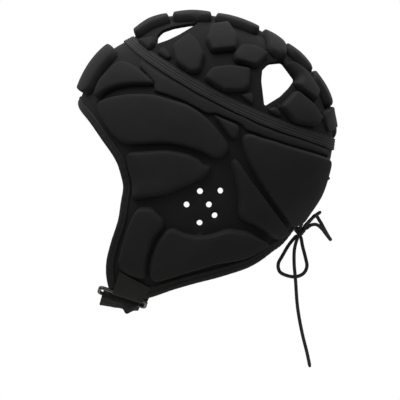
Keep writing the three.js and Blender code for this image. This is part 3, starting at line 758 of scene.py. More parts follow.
CROWN_PADS = {
    "crown_front_pad": {
        "corners": [(-28, 98), (-13, 109), (-6, 103), (0, 92), (-4, 77), (-12, 75.5), (-24, 84)],
    },
    "crown_top_pad": {
        "corners": [(2, 104), (6, 116), (20, 118), (29, 106), (27, 96), (7, 94)],
    },
    "crown_mid_pad": {
        "corners": [(26, 92), (32, 99), (44, 98), (56, 91), (45, 81), (27, 86)],
    },
    "crown_side_pad": {
        "corners": [(0, 71), (7, 80), (22, 82), (40, 79), (39, 64), (34, 60), (17, 60)],
    },
    "crown_rear_pad": {
        "corners": [
            (71.5, 82.5), (76, 84.5), (89, 75), (99, 59), (97, 51), (85, 60), (80.5, 66), (74.5, 76),
        ],
    },
    "crown_back_pad": {
        "corners": [(67, 46), (80, 60), (93, 49), (102, 36), (98, 29.5), (78, 33)],
    },
    "corner_pad_front": {
        "round": 2,
        "height": 4,
        "corners": [(-40, 91.5), (-34, 96), (-28, 87), (-31, 86)],
    },
    "corner_pad_mid": {"round": 2, "height": 4, "corners": [(31, 55), (41, 57), (42, 47)]},
    "corner_pad_rear": {"round": 2, "height": 4, "corners": [(55, 42), (61, 45), (66, 38), (63, 37.5)]},
}
FOREHEAD_PADS = {"forehead_pad": {"from": 129.3, "to": 150.6, "half_width": 36, "sweep": 0, "round": 9}}
STRIP_SPANS = [
    (104, 118.6, 24, 0), (87.3, 102.2, 24, 0), (67.2, 85.3, 22, 0), (57, 65.9, 40, -6),
    (42.4, 55.2, 22, -3.3), (25.2, 39.6, 22, -2.3), (14.2, 23.2, 33, -1.5),
]
STRIP_PADS = {
    f"crown_strip_pad_{i}": {"from": start, "to": end, "half_width": wide, "sweep": sweep, "round": 6}
    for i, (start, end, wide, sweep) in enumerate(STRIP_SPANS, 1)
}
STRIP_PADS["crown_strip_pad_7"]["held"] = "tape_end"
pad_counts = [len(pads) for pads in (SIDE_PADS, CROWN_PADS, STRIP_PADS)]
print("pads of a side, of half the crown and of the strip:", pad_counts)

# %% [markdown]
# Three low forms of the cover have no foam block of their own: a band of padding beside the tape,
# a small tip at the front of the crown and a soft ridge along its midline, under the strip pads.
# They are worked out like pads, with less height. Pads that reach a sewn edge or the tape are
# marked as held, because the sewing keeps their cover down there.

# %% Low forms
SIDE_FORM = {"foot": 0.9, "roll": 2.2}
CROWN_FORM = {"foot": 0.9, "roll": 1.9, "round": 2.5}
BAND = {
    "round": 2,
    "height": 3.4,
    "foot": 0.5,
    "roll": 1.4,
    "held": "tape",
    "corners": [
        (-54, 84.5), (-48.6, 81), (-28, 67.5), (-6.3, 54.5), (20, 41.5), (48.7, 27.8), (76, 18.6),
        (105, 8.4), (105, 2.8), (72, 12.4), (36, 24.8), (33, 29.2), (9, 39.6), (2.6, 38.6),
        (-18.6, 50.1), (-30, 54.5), (-42, 57.9), (-42.4, 65.6), (-46, 69.4), (-54.6, 78.6),
    ],
}
TIP = {
    "round": 1.2,
    "height": 5.5,
    "corners": [(-56.5, 102.5), (-43.5, 105.2), (-42.6, 100), (-47.2, 94.6)],
}
RIDGE = {
    "from": 9.4, "to": 118.6, "half_width": 14, "sweep": 0, "round": 6,
    "height": 3.6, "foot": 0, "roll": 12,
}
print("heights of band, tip and ridge in mm:", BAND["height"], TIP["height"], RIDGE["height"])

# %% [markdown]
# Two tools serve every outline: one rounds its corners, and one tells how far inside it a point
# lies. Pads, holes and the edges of the cloth all use them.

# %% Outlines


def rounded(corners, radius, steps=8):
    """Outline with its corners rounded."""
    corners = np.asarray(corners, float)
    out = []
    for i, corner in enumerate(corners):
        ends = []
        for other in (corners[i - 1], corners[(i + 1) % len(corners)]):
            length = np.linalg.norm(other - corner)
            ends.append(corner + (other - corner) * min(radius, length / 2) / length)
        t = np.linspace(0, 1, steps)[:, None]
        out.append((1 - t) ** 2 * ends[0] + 2 * t * (1 - t) * corner + t**2 * ends[1])
    return np.concatenate(out)


def depth_inside(points, outline):
    """How far points lie inside an outline; outside it is negative."""
    nearest = np.full(len(points), np.inf)
    inside = np.zeros(len(points), bool)
    x, y = points.T
    for (x0, y0), (x1, y1) in zip(outline, np.roll(outline, -1, 0)):
        dx, dy = x1 - x0, y1 - y0
        t = np.clip(((x - x0) * dx + (y - y0) * dy) / max(dx * dx + dy * dy, 1e-12), 0, 1)
        nearest = np.minimum(nearest, (x - x0 - t * dx) ** 2 + (y - y0 - t * dy) ** 2)
        if dy != 0:
            inside ^= ((y0 > y) != (y1 > y)) & (x < x0 + dx * (y - y0) / dy)
    return np.where(inside, 1, -1) * np.sqrt(nearest)


trial_square = np.array([(0, 0), (10, 0), (10, 10), (0, 10)], float)
trial_middle = trial_square.mean(axis=0, keepdims=True)
print("depth at the middle of a 10 mm square:", depth_inside(trial_middle, trial_square)[0])

# %% [markdown]
# A pad's side rises steeply from its foot, rolls over at the edge, and swells a little towards the
# middle. The curve below gives that height from the depth inside the outline. The mesh has lines
# of points at chosen depths, so that its edges run along the pad's rim and the roll stays clean.

# %% Pad heights
RING_SHARES = (0, 0.07, 0.18, 0.33, 0.52, 0.74, 1.0)
RING_TOLERANCE = 0.12
MIDLINE_CLEAR = 0.7
SWELL = 0.9
SWELL_REACH = 9
STEEPNESS = 2.3
ROLL_ROUNDNESS = 1.35


class Pad:
    """A pad's outline, laid out on the side's chart or on a strip along the midline."""

    def __init__(self, row):
        self.height = row.get("height", PAD)
        self.foot, self.roll = row["foot"], row["roll"]
        self.held = row.get("held")
        self.radius = None
        if "from" in row:
            self.radius = float(reach(np.radians((row["from"] + row["to"]) / 2))) + PAD
            start, end, swept = (np.radians(row[key]) * self.radius for key in ("from", "to", "sweep"))
            wide = row["half_width"]
            corners = [
                (start + swept, -wide), (end + swept, -wide), (end, 0),
                (end + swept, wide), (start + swept, wide), (start, 0),
            ]
        else:
            x, z = np.array(row["corners"], float).T
            corners = to_chart(*from_side(x, z, self.height))
        self.outline = rounded(corners, row["round"])

    def depth(self, chart_points):
        """How far points of the chart lie inside the pad."""
        if self.radius is None:
            return depth_inside(chart_points, self.outline) * chart_scale(chart_points)
        bearing, y = from_chart(chart_points)
        return depth_inside(np.stack([bearing * self.radius, y], axis=1), self.outline)

    def levels(self):
        """Depths at which lines of points run round the pad."""
        return [share * (self.foot + self.roll) - self.foot for share in RING_SHARES]

    def rise(self, depth):
        """Height above the wall at a depth inside the outline."""
        t = np.clip((depth + self.foot) / (self.foot + self.roll), 0, 1)
        side = (1 - (1 - t) ** STEEPNESS) ** (1 / ROLL_ROUNDNESS)
        swell = SWELL * self.height / PAD
        return (self.height - swell) * side + swell * (1 - np.exp(-np.maximum(depth, 0) / SWELL_REACH))

    def ring(self, level, spacing):
        """Chart points along a line that runs a depth inside the outline."""
        line = even_points(self.outline, spacing, loop=True)
        along = directions(line, loop=True)
        inward = np.stack([-along[:, 1], along[:, 0]], axis=1)
        probe = 0.2
        inward = inward * np.sign(np.median(depth_inside(line + probe * inward, self.outline)))
        reduced = np.full(len(line), level)
        if self.radius is None:
            reduced = level / chart_scale(line)
        moved = line + reduced[:, None] * inward
        moved = moved[np.abs(depth_inside(moved, self.outline) - reduced) < RING_TOLERANCE]
        if self.radius is None:
            return moved
        moved = moved[moved[:, 1] < -MIDLINE_CLEAR]
        return to_chart(moved[:, 0] / self.radius, moved[:, 1])


side_rows = {**SIDE_PADS, **FOREHEAD_PADS, "band": BAND}
crown_rows = {**CROWN_PADS, **STRIP_PADS, "tip": TIP}
side_pads = {name: Pad({**SIDE_FORM, **row}) for name, row in side_rows.items()}
crown_pads = {name: Pad({**CROWN_FORM, **row}) for name, row in crown_rows.items()}
crown_ridge = Pad(RIDGE)
temple_heights = side_pads["temple_pad"].rise(np.array([0.0, 20.0]))
print("pad height at its edge and middle:", temple_heights.round(2))

# %% [markdown]
# The cover's height at a place is that of the highest pad there. A held pad gets lower towards the
# line where its cover is sewn down. Every pad gets lower near a hole, and the cloth rolls under at
# the hole's rim.

# %% Cover height
HOLE_ROLL = 0.9
HOLE_TURN_IN = 0.8
HOLE_REACH = 2.2
TAPE_WIDTH = 9.5
HOLDS = {
    "tape": {"start": TAPE_WIDTH / 2, "fade": 8},
    "tape_end": {"start": TAPE_WIDTH / 2, "fade": 20},
    "edges": {"start": 0, "fade": 6},
}
HELD_HEIGHT = 1.2


def distance_to(points, line):
    """Distance of points from an open line."""
    nearest = np.full(len(points), np.inf)
    for start, end in zip(line, line[1:]):
        way = end - start
        t = np.clip(((points - start) @ way) / (way @ way), 0, 1)
        nearest = np.minimum(nearest, np.linalg.norm(points - start - t[:, None] * way, axis=1))
    return nearest


def held_height(chart_points, lines, start, fade):
    """Most height that a pad has near the lines where its cover is sewn down."""
    away = np.min([distance_to(chart_points, line) for line in lines], axis=0)
    away = np.maximum(away * chart_scale(chart_points) - start, 0)
    return HELD_HEIGHT + (PAD - HELD_HEIGHT) * (1 - np.exp(-away / fade))


def cloth_height(chart_points, pads, holes, lines, ridge):
    """Height of the cover above the wall, with the pads raised and hole rims rolled under."""
    limits = {hold: held_height(chart_points, lines[hold], **HOLDS[hold]) for hold in HOLDS}
    height = np.zeros(len(chart_points))
    if ridge:
        height = ridge.rise(ridge.depth(chart_points))
    for pad in pads.values():
        rise = pad.rise(pad.depth(chart_points))
        if pad.held:
            rise = np.minimum(rise, limits[pad.held])
        height = np.maximum(height, rise)
    for hole in holes:
        away = np.maximum(-depth_inside(chart_points, hole), 0) * chart_scale(chart_points)
        height = np.minimum(height, PAD * (1 - np.exp(-away / HOLE_REACH)))
        height = height - HOLE_TURN_IN * np.exp(-((away / HOLE_ROLL) ** 2))
    return height


print("lines that hold the cover down:", ", ".join(HOLDS))

# %% [markdown]
# ## The skins
# A skin is the outer cloth, the lining and the rim between them. Half of it is meshed on the flat
# chart: its edge, its holes and the lines round the pads are given, the rest is filled with an
# even pattern of points, and a Delaunay triangulation joins them. Then the half is raised onto the
# head, mirrored, and joined along the midline. Low parts are marked for painted shade: a darker
# knit colour that stands in for the shade between the pads.

# %% Flat triangles
RING_SPACING = 1.7
RING_CLEAR = 0.6
RIVAL_CLEAR = 0.15
CLOTH_SPACING = 2.1
CLOTH_CLEAR = 1.3
PAD_CLEAR = 0.9
LINING_SPACING = 5
LINING_CLEAR = 2.5


def filling(edge, spacing):
    """Even triangular pattern of points over an outline's box."""
    low, high = edge.min(0), edge.max(0)
    rows = np.arange(low[1], high[1], spacing * math.sqrt(3) / 2)
    lines = []
    for i, y in enumerate(rows):
        x = np.arange(low[0] + (i % 2) * spacing / 2, high[0], spacing)
        lines.append(np.stack([x, np.full_like(x, y)], axis=1))
    return np.concatenate(lines)


def clear_of(points, edge, holes, distance):
    """Points that lie inside the edge and outside the holes, by a distance."""
    keep = depth_inside(points, edge) > distance
    for hole in holes:
        keep &= depth_inside(points, hole) < -distance
    return points[keep]


def triangles_between(edge, holes, inner):
    """Triangles over the space inside the edge and outside the holes."""
    loops = [edge, *holes]
    points = np.concatenate([*loops, inner])
    sides, start = [], 0
    for loop in loops:
        count = len(loop)
        sides += [(start + i, start + (i + 1) % count) for i in range(count)]
        start += count
    found = delaunay_2d_cdt([Vector(p) for p in points.tolist()], sides, [], 0, 1e-7, True)
    origin = [ids[0] for ids in found[3]]
    faces = np.array([[origin[i] for i in face] for face in found[2]])
    on_rim = (faces < start).all(axis=1)
    middles = points[faces].mean(axis=1)
    good = np.ones(len(faces), bool)
    rim_middles = middles[on_rim]
    inside = depth_inside(rim_middles, edge) > 0
    for hole in holes:
        inside &= depth_inside(rim_middles, hole) < 0
    good[on_rim] = inside
    return points, faces[good], sides


print("points that fill a 10 mm square of cloth:", len(filling(trial_square, CLOTH_SPACING)))

# %% [markdown]
# The outer cloth gets lines of points round each pad, apart from where another pad covers them,
# and an even filling elsewhere. The lining is smooth, so a coarser filling is enough for it.

# %% Skin builder
# Cover lower than this, in mm above the wall, gets painted shade.
PAINTED_SHADE_BELOW = 3.0


def raised(flat, height, on_midline):
    """Chart points raised onto the head, and which of them are on the midline."""
    middle = np.zeros(len(flat), bool)
    middle[: len(on_midline)] = on_midline
    bearing, y = from_chart(flat)
    points = on_head(bearing, np.where(middle, 0, y), height)
    points[middle, 1] = 0
    return points, middle


def skin_half(edge, on_midline, holes, pads, lines, ridge):
    """Left half of a skin: faces, points, chart points, heights and which are on the midline."""
    rings = []
    for name, pad in pads.items():
        others = [other for key, other in pads.items() if key != name]
        for level in pad.levels():
            ring = pad.ring(level, RING_SPACING)
            rival = np.max([other.depth(ring) for other in others], axis=0)
            rings.append(ring[rival < level - RIVAL_CLEAR])
    rings = clear_of(np.concatenate(rings), edge, holes, RING_CLEAR)
    fill = clear_of(filling(edge, CLOTH_SPACING), edge, holes, CLOTH_CLEAR)
    for pad in pads.values():
        depth = pad.depth(fill)
        fill = fill[(depth < -pad.foot - PAD_CLEAR) | (depth > pad.roll + PAD_CLEAR)]
    outer, outer_faces, sides = triangles_between(edge, holes, np.concatenate([rings, fill]))
    fill = clear_of(filling(edge, LINING_SPACING), edge, holes, LINING_CLEAR)
    lining, lining_faces, _ = triangles_between(edge, holes, fill)

    height = cloth_height(outer, pads, holes, lines, ridge)
    below = np.full(len(lining), -WALL)
    top, middle = raised(outer, height, on_midline)
    bottom, middle_below = raised(lining, below, on_midline)
    shift = len(outer)
    faces = [tuple(face) for face in outer_faces.tolist()]
    faces += [(a, b, b + shift, a + shift) for a, b in sides if not (middle[a] and middle[b])]
    faces += [(c + shift, b + shift, a + shift) for a, b, c in lining_faces.tolist()]
    layers = ((top, bottom), (outer, lining), (height, below), (middle, middle_below))
    return faces, *(np.concatenate(pair) for pair in layers)


def skin(name, edge, on_midline, holes, pads, lines, painted_shade_share, ridge=None):
    """Whole skin: half and mirror image joined along the midline, low parts marked for painted shade."""
    faces, points, chart, heights, on_middle = skin_half(edge, on_midline, holes, pads, lines, ridge)
    twin = np.arange(len(points))
    twin[~on_middle] = len(points) + np.arange((~on_middle).sum())
    other = points[~on_middle] * (1, -1, 1)
    other_faces = [tuple(int(twin[i]) for i in reversed(face)) for face in faces]
    every_point = np.concatenate([points, other])
    every_chart = np.concatenate([chart, chart[~on_middle]]) * MM
    every_face = faces + other_faces
    corner_map = every_chart[np.concatenate([np.array(face) for face in every_face])]
    piece = new_piece(name, every_point, every_face, corner_map)
    every_height = np.concatenate([heights, heights[~on_middle]])
    # Painted shade: cover lower than the set height gets a share of the darker colour, in place of the
    # shade between the pads.
    painted_shade = piece.data.attributes.new("painted_shade", "FLOAT", "POINT")
    painted_shade.data.foreach_set("value", painted_shade_share * np.clip(1 - every_height / PAINTED_SHADE_BELOW, 0, 1))
    return piece


# The darker tone is painted shade on the low cover between the pads.
print("cover lower than", PAINTED_SHADE_BELOW, "mm above the wall takes the darker tone")

# %% [markdown]
# Along the midline the two halves share their points. Those points are set where the lines round
# the pads cross the midline, so the pads' rims run straight through from one half to the other.

# %% Midline
MARK_CLEAR = 0.8
MIDLINE_SAMPLES = 6000
MIDLINE_RADIUS = CHART_RADIUS * 0.75


def midline_chart(bearings):
    """Chart points along the midline."""
    return to_chart(bearings, np.zeros_like(bearings))


def midline_bearings(start, end, pads):
    """Bearings along the midline, with one at every line round a pad."""
    fine = np.linspace(start, end, MIDLINE_SAMPLES)
    line = midline_chart(fine)
    marks = []
    for pad in pads.values():
        if pad.radius is None:
            continue
        depth = pad.depth(line)
        for level in pad.levels():
            marks += fine[np.nonzero(np.diff(np.sign(depth - level)))[0]].tolist()
    count = max(round(abs(end - start) * MIDLINE_RADIUS / RING_SPACING), 2)
    between = np.linspace(start, end, count)[1:-1]
    for mark in marks:
        between = between[np.abs(between - mark) * MIDLINE_RADIUS > MARK_CLEAR]
    return np.array(sorted([start, end, *marks, *between], reverse=start > end))


back_half = midline_bearings(0.0, np.pi / 2, crown_pads)
print("points along the back half of the crown's midline:", len(back_half))

# %% [markdown]
# The edges of the skins come from the same lines as the seam, the bindings and the slit at the
# back. The side's cloth runs a little way into its bound edges, as sewn cloth does.

# %% Edges of the side
SEAM = [(-63, 101), (-45.5, 86), (-3.5, 59.5), (51, 33), (109.8, 12.6)]
FACE_EDGE = [
    (-108.3, 47.6), (-105.3, 43.4), (-97.1, 32.3), (-83.9, 13.4), (-73.5, -2.8), (-68.9, -18),
    (-69.2, -31), (-72.2, -50), (-78.5, -70), (-82.2, -86), (-80, -108.4),
]
LOWER_EDGE = [
    (-50, -117.2), (-24.5, -109), (1, -102), (26, -95), (43.4, -87.8), (56.2, -78.8), (67.6, -69.6),
]
JAW_CORNER = [(-48, -112), (-56, -110.5), (-66, -107.5), (-76, -103.5)]
TAB_EDGE = [(-70.8, -92), (-44.4, -106.4)]
BROW_TURN = 2.7
NAPE_BEARING = np.radians(-34.5)
NAPE_LIFT = 0.06
SLIT = 12
SLIT_TOP = -3
SLIT_POINTS = 34
EAR_HOLE = 5.0
EAR_HOLES = [(-3.4, -26.2), (13.9, -25.8), (-14.7, -37.5), (4.2, -37.5), (9, -46.6), (-3.7, -52.8)]
HOLE_POINTS = 18
SEWN_IN = 5.0
FACE_CLEAR = 2
EDGE_SPACING = 1.7


def side_points(rows):
    """Points on the left side from places seen from the side."""
    x, z = np.array(rows, float).T
    return on_head(*from_side(x, z, 1))


def eased(count):
    """Shares from 0 to 1, closer together at both ends."""
    return (1 - np.cos(np.pi * np.arange(count + 1) / count)) / 2


def sewn_line(route, turn=1):
    """Points of a bound edge, and the chart line that runs a little way in from it."""
    place, _, across = stations_on_head(route, EDGE_SPACING, turn=turn)
    return place, to_chart(*under(place + SEWN_IN * across))


def joined(parts):
    """Edge of a skin from its parts, and which of its points are on the midline."""
    on_middle = np.concatenate([np.full(len(part), flag) for part, flag in parts])
    on_middle[0] = True
    return np.concatenate([part for part, _ in parts]), on_middle


mirror = np.array([1, -1, 1])
face_left = side_points(FACE_EDGE)
face_route = np.concatenate([face_left[:0:-1], face_left * mirror])
nape = on_head(NAPE_BEARING, -SLIT / 2)
lower_route = np.concatenate([side_points(LOWER_EDGE), nape[None]])

seam_chart = even_points(to_chart(*from_side(*plain_curve(SEAM, eased(160)).T)), EDGE_SPACING)
seam_ends = np.array([math.atan2(z, x) for x, z in (SEAM[0], SEAM[-1])])
seam_chart[[0, -1]] = midline_chart(seam_ends)
face_place, face_chart = sewn_line(face_route)
face_chart = face_chart[face_place[:, 1] < -FACE_CLEAR]
lower_chart = sewn_line(lower_route, -1)[1]
jaw_chart, tab_chart = (
    even_points(to_chart(*under(side_points(rows))), EDGE_SPACING) for rows in (JAW_CORNER, TAB_EDGE)
)
sewn_edges = [face_chart, lower_chart, tab_chart]
sewn_lines = {"tape": [seam_chart], "tape_end": [seam_chart], "edges": sewn_edges}
print("points along the seam and the face edge:", len(seam_chart), len(face_chart))

# %% [markdown]
# The side's edge is closed by the midline over the brow and at the back, and by the slit that the
# lace draws together. The ear holes are round as seen from the side, and the lace holes lie in
# pairs beside the slit.

# %% Outline and holes of the side
slit_top_bearing = math.atan2(SLIT_TOP, float(reach(0.0)))
slit_bearings = np.linspace(slit_top_bearing, NAPE_BEARING + NAPE_LIFT, SLIT_POINTS)
slit_chart = to_chart(slit_bearings, np.full(SLIT_POINTS, -SLIT / 2))
slit_turn = to_chart(np.full(3, slit_top_bearing), np.array([-1.5, -3.0, -4.5]))
brow_x, brow_z = FACE_EDGE[0]
brow_bearing = math.atan2(brow_z, brow_x) - SEWN_IN / float(reach(BROW_TURN))
back_chart = midline_chart(midline_bearings(seam_ends[1], slit_top_bearing, {}))
brow_chart = midline_chart(midline_bearings(brow_bearing, seam_ends[0], side_pads))
side_edge, side_middle = joined(
    [
        (seam_chart[:-1], False),
        (back_chart, True),
        (slit_turn, False),
        (slit_chart, False),
        (lower_chart[:1:-1], False),
        (jaw_chart, False),
        (face_chart[2:], False),
        (brow_chart[:-1], True),
    ]
)


def ear_hole(x, z, turn):
    """Chart outline of a hole that is round as seen from the side."""
    return to_chart(*from_side(x + EAR_HOLE / 2 * np.cos(turn), z + EAR_HOLE / 2 * np.sin(turn)))


def lace_hole(bearing, turn):
    """Chart outline of a round hole beside the slit."""
    radius = LACE_HOLE / 2
    turned = bearing + radius / reach(bearing) * np.cos(turn)
    return to_chart(turned, -LACE_HOLE_OFFSET + radius * np.sin(turn))


hole_turn = turns(HOLE_POINTS)
side_holes = [ear_hole(x, z, hole_turn) for x, z in EAR_HOLES]
side_holes += [lace_hole(math.radians(bearing), hole_turn) for bearing in LACING_BEARINGS]
print("points round the side's edge:", len(side_edge), "holes:", len(side_holes))

# %% Side skin
BOTH = ("left", "right")
# Half strength of painted shade on the side's low cover.
SIDE_PAINTED_SHADE = 0.5
side_nodes = [f"{name}_{side}" for name in ("side_panel", *SIDE_PADS) for side in BOTH]
side_skin = skin("side_skin", side_edge, side_middle, side_holes, side_pads, sewn_lines, SIDE_PAINTED_SHADE)
dressed(side_skin, knit_cover, "pad_fabric", *side_nodes, "forehead_pad")

# %% [markdown]
# The crown's skin goes from the seam on one side, over the top, to the seam on the other. Two
# vents are cut in each side of it, between the pads.

# %% Crown skin
# Full strength of painted shade on the crown's low cover.
CROWN_PAINTED_SHADE = 1.0
VENT_SPACING = 1.5
VENTS = [
    {
        "round": 1.5,
        "corners": [
            (-40.2, 97.2), (-39.6, 104.5), (-35, 109.3), (-25.5, 112.6), (-14, 114.6),
            (-4.5, 115.6), (-10.5, 111.6), (-20.2, 105.6), (-30.2, 100.6),
        ],
    },
    {
        "round": 2,
        "corners": [
            (48, 66), (49, 76), (55, 82), (66, 83.2), (77.2, 68.4), (72, 61), (64, 53), (50.5, 44.6),
        ],
    },
]
crown_line = midline_chart(midline_bearings(seam_ends[1], seam_ends[0], crown_pads))
crown_edge, crown_middle = joined([(seam_chart[:-1], False), (crown_line[:-1], True)])
crown_holes = []
for vent in VENTS:
    outline = even_points(rounded(vent["corners"], vent["round"]), VENT_SPACING, loop=True)
    crown_holes.append(to_chart(*from_side(*outline.T)))
crown_nodes = [f"{name}_{side}" for name in CROWN_PADS for side in BOTH]
crown_skin = skin(
    "crown_skin", crown_edge, crown_middle, crown_holes, crown_pads, sewn_lines, CROWN_PAINTED_SHADE, crown_ridge
)
dressed(crown_skin, knit_cover, "pad_fabric", "crown_web", *crown_nodes, *STRIP_PADS)

# %% [markdown]
# ## Seam tape and bound edges
# The tape is sewn down along its two outer grooves, and two grooves between them give it its ribs.
# Each binding is a strip folded over the raw edge: a full bead with a stitched groove along its
# inner side, puckered slightly between the stitches. Both are one section drawn along a line.

# %% Tape
TAPE_DEPTH = 1.3
TAPE_LIFT = 0.2
TAPE_UNDERSIDE = -0.3
TAPE_EDGE = {"share": 0.3, "roll": 0.5}
TAPE_GROOVES = (-3.5, -1.2, 1.2, 3.5)
TAPE_GROOVE = {"depth": 0.5, "width": 0.3}
TAPE_STEP = 2.0
STITCH_STEP = 3.0

tape_across = np.linspace(-TAPE_WIDTH / 2, TAPE_WIDTH / 2, 61)
tape_back = tape_across[::-12]
edge_fall = np.clip((TAPE_WIDTH / 2 - np.abs(tape_across)) / TAPE_EDGE["roll"], 0, 1) ** 0.5
tape_top = TAPE_LIFT + TAPE_DEPTH * (TAPE_EDGE["share"] + (1 - TAPE_EDGE["share"]) * edge_fall)
for groove in TAPE_GROOVES:
    away = (tape_across - groove) / TAPE_GROOVE["width"]
    tape_top = tape_top - TAPE_GROOVE["depth"] * np.exp(-(away**2))
tape_section = np.concatenate(
    [
        np.stack([tape_across, tape_top], axis=1),
        np.stack([tape_back, np.full_like(tape_back, TAPE_UNDERSIDE)], axis=1),
    ]
)
seam_left = on_head(*from_side(*plain_curve(SEAM, eased(24)).T))
seam_route = np.concatenate([seam_left, seam_left[-2:0:-1] * mirror])
tape_stations = stations_on_head(seam_route, TAPE_STEP, loop=True)
tape = drawn_along("seam_tape_ribbed", tape_stations, tape_section, loop=True)
dressed(tape, seam_nylon, "tape_fabric", "seam_tape")

# %% Bindings
FACE_BINDING = 7.8
LOWER_BINDING = 9.4
BINDING_HALF_DEPTH = 2.6
BINDING_SIDES = 44
BINDING_STEP = 1.6
BINDING_GROOVE = {"share": 0.6, "depth": 0.8, "width": 0.5}
WIDE_POWER = 0.7
TALL_POWER = 0.6
PUCKER = 0.05


def squared(values, power):
    """Sines or cosines of a circle, drawn out towards a square."""
    return np.sign(values) * np.abs(values) ** power


def binding(name, route, turn, width, *nodes):
    """Strip folded over an edge, with a stitched groove."""
    stations = stations_on_head(route, BINDING_STEP, turn=turn)
    angle = turns(BINDING_SIDES)
    tall = squared(np.sin(angle), TALL_POWER)
    travel = travel_of(stations[0])[:, None]
    pucker = 1 + PUCKER * np.sin(2 * np.pi * travel / (2 * STITCH_STEP))
    across = width / 2 * (1 + squared(np.cos(angle), WIDE_POWER))
    away = (across - BINDING_GROOVE["share"] * width) / BINDING_GROOVE["width"]
    groove = BINDING_GROOVE["depth"] * np.exp(-(away**2)) * (tall > 0)
    out = BINDING_HALF_DEPTH * tall * pucker - groove - WALL / 2
    section = np.stack([np.broadcast_to(across, out.shape), out], axis=-1)
    return dressed(drawn_along(name, stations, section), edge_binding, "binding_fabric", *nodes)


binding("face_binding_bead", face_route, 1, FACE_BINDING, "face_binding")
binding("lower_binding_bead_left", lower_route, -1, LOWER_BINDING, "lower_binding_left")
binding("lower_binding_bead_right", lower_route * mirror, 1, LOWER_BINDING, "lower_binding_right")

# %% [markdown]
# ## Chin fastening
# A webbing tab is sewn to the left jaw and folded round a plastic ring. The strap comes under the
# chin from the right jaw, goes round the ring's lower bar and fastens back on itself. The ring is
# modelled as a plane with its corners bevelled, inset and hollowed, then given thickness.

# %% Jaw frame
STRAP_TILT = math.radians(18)
RING_LEAN = math.radians(38)
RING = {"length": 43, "height": 13, "bar": 3, "depth": 3, "corner": 3.6, "edge": 1.2, "top": -2}
JAW_SPOT = (-66.5, -110)

width_way = np.array([math.cos(STRAP_TILT), 0, -math.sin(STRAP_TILT)])
jaw_spot = from_side(*JAW_SPOT)
jaw = on_head(*jaw_spot)
jaw_out = outward(*jaw_spot)
jaw_out = unit(jaw_out - width_way * np.dot(jaw_out, width_way))
jaw_up = np.cross(jaw_out, width_way)
ring_up = jaw_up * math.cos(RING_LEAN) + jaw_out * math.sin(RING_LEAN)
ring_out = jaw_out * math.cos(RING_LEAN) - jaw_up * math.sin(RING_LEAN)
ring_top = RING["top"]
ring_middle = -WALL / 2
upper_bar = ring_top - RING["bar"] / 2
bar_spacing = RING["height"] - RING["bar"]
lower_bar_up = upper_bar - bar_spacing * math.cos(RING_LEAN)
lower_bar_out = ring_middle - bar_spacing * math.sin(RING_LEAN)
print("jaw spot:", jaw.round(1))

# %% Strap ring
bpy.ops.object.select_all(action="DESELECT")
bpy.ops.mesh.primitive_plane_add(size=1)
ring = bpy.context.object
ring.name = "strap_ring_moulded"
ring.data.name = ring.name
ring.scale = (RING["length"] * MM, RING["height"] * MM, 1)
bpy.ops.object.transform_apply(location=False, rotation=False, scale=True)
bpy.ops.object.mode_set(mode="EDIT")
bpy.ops.mesh.select_all(action="SELECT")
bpy.ops.mesh.bevel(offset=RING["corner"] * MM, segments=8, affect="VERTICES")
bpy.ops.mesh.select_all(action="SELECT")
bpy.ops.mesh.inset(thickness=RING["bar"] * MM)
bpy.ops.mesh.delete(type="FACE")
bpy.ops.object.mode_set(mode="OBJECT")
for kind, settings in (
    ("SOLIDIFY", {"thickness": RING["depth"] * MM, "offset": 0}),
    ("BEVEL", {"width": RING["edge"] * MM, "segments": 4, "limit_method": "ANGLE"}),
):
    modifier = ring.modifiers.new(kind.title(), kind)
    for key, value in settings.items():
        setattr(modifier, key, value)
    bpy.ops.object.modifier_apply(modifier=modifier.name)
ring_place = in_frame(jaw + jaw_up * upper_bar + jaw_out * ring_middle - ring_up * bar_spacing / 2)
basis = Matrix([width_way, ring_up, ring_out]).transposed().to_4x4()
ring.data.transform(Matrix.Translation(ring_place) @ basis)
dressed(ring, ring_plastic, "ring_plastic", "strap_ring", sharp=40)

# %% [markdown]
# Straps and webbing are drawn directly along their route, so that the flat weave keeps its edges.
# The strap's route is laid out in the plane square to its width. Where it goes round the bar it
# bunches into a lump. Under the chin it twists a little, and it is skewed towards its sewn end.
# Small random lifts give the pile of hook and loop cloth.

# %% Strap route
STRAP_WIDTH = 33
STRAP_MIDDLE = -0.3
STRAP_DEPTH = 2
STRAP_TAIL = 38
STRAP_SAG = 3.4
STRAP_STEP = 1.0
STRAP_SAMPLES = 400
STRAP_EDGE = {"roll": 0.6, "least": 0.25}
STRAP_PILE = 0.18
STRAP_TWIST = {"angle": math.radians(9), "rise": 14, "fall": 50}
STRAP_SKEW = {"shift": 6, "reach": 60}
LUMP = {"place": 9.5, "spread": 4.2, "drop": 5.8, "back_rise": 4, "before": 6.0, "after": 14.0}
BUNCHING = 0.08
TAIL_DIP = {"end": 1, "middle": 0.3}
WRAP_ENTRY = {"down": 0.5, "in": 5}
RIGHT_JAW = [(-9, 2.5), (-2, 3.4), (12, 3.4)]

strap_up = np.array([math.sin(STRAP_TILT), 0, math.cos(STRAP_TILT)])
strap_origin = np.array([jaw[0], 0, jaw[2]])


def jaw_side(up, out, side):
    """Spot by the jaw in the strap's plane: across the head, and up."""
    across = jaw[1] + up * jaw_up[1] + out * jaw_out[1]
    return (-side * across, up * np.dot(jaw_up, strap_up) + out * np.dot(jaw_out, strap_up))


def in_strap_plane(flat):
    """Directions or shifts in space from the strap's plane."""
    return np.outer(flat[:, 0], (0, 1, 0)) + np.outer(flat[:, 1], strap_up)


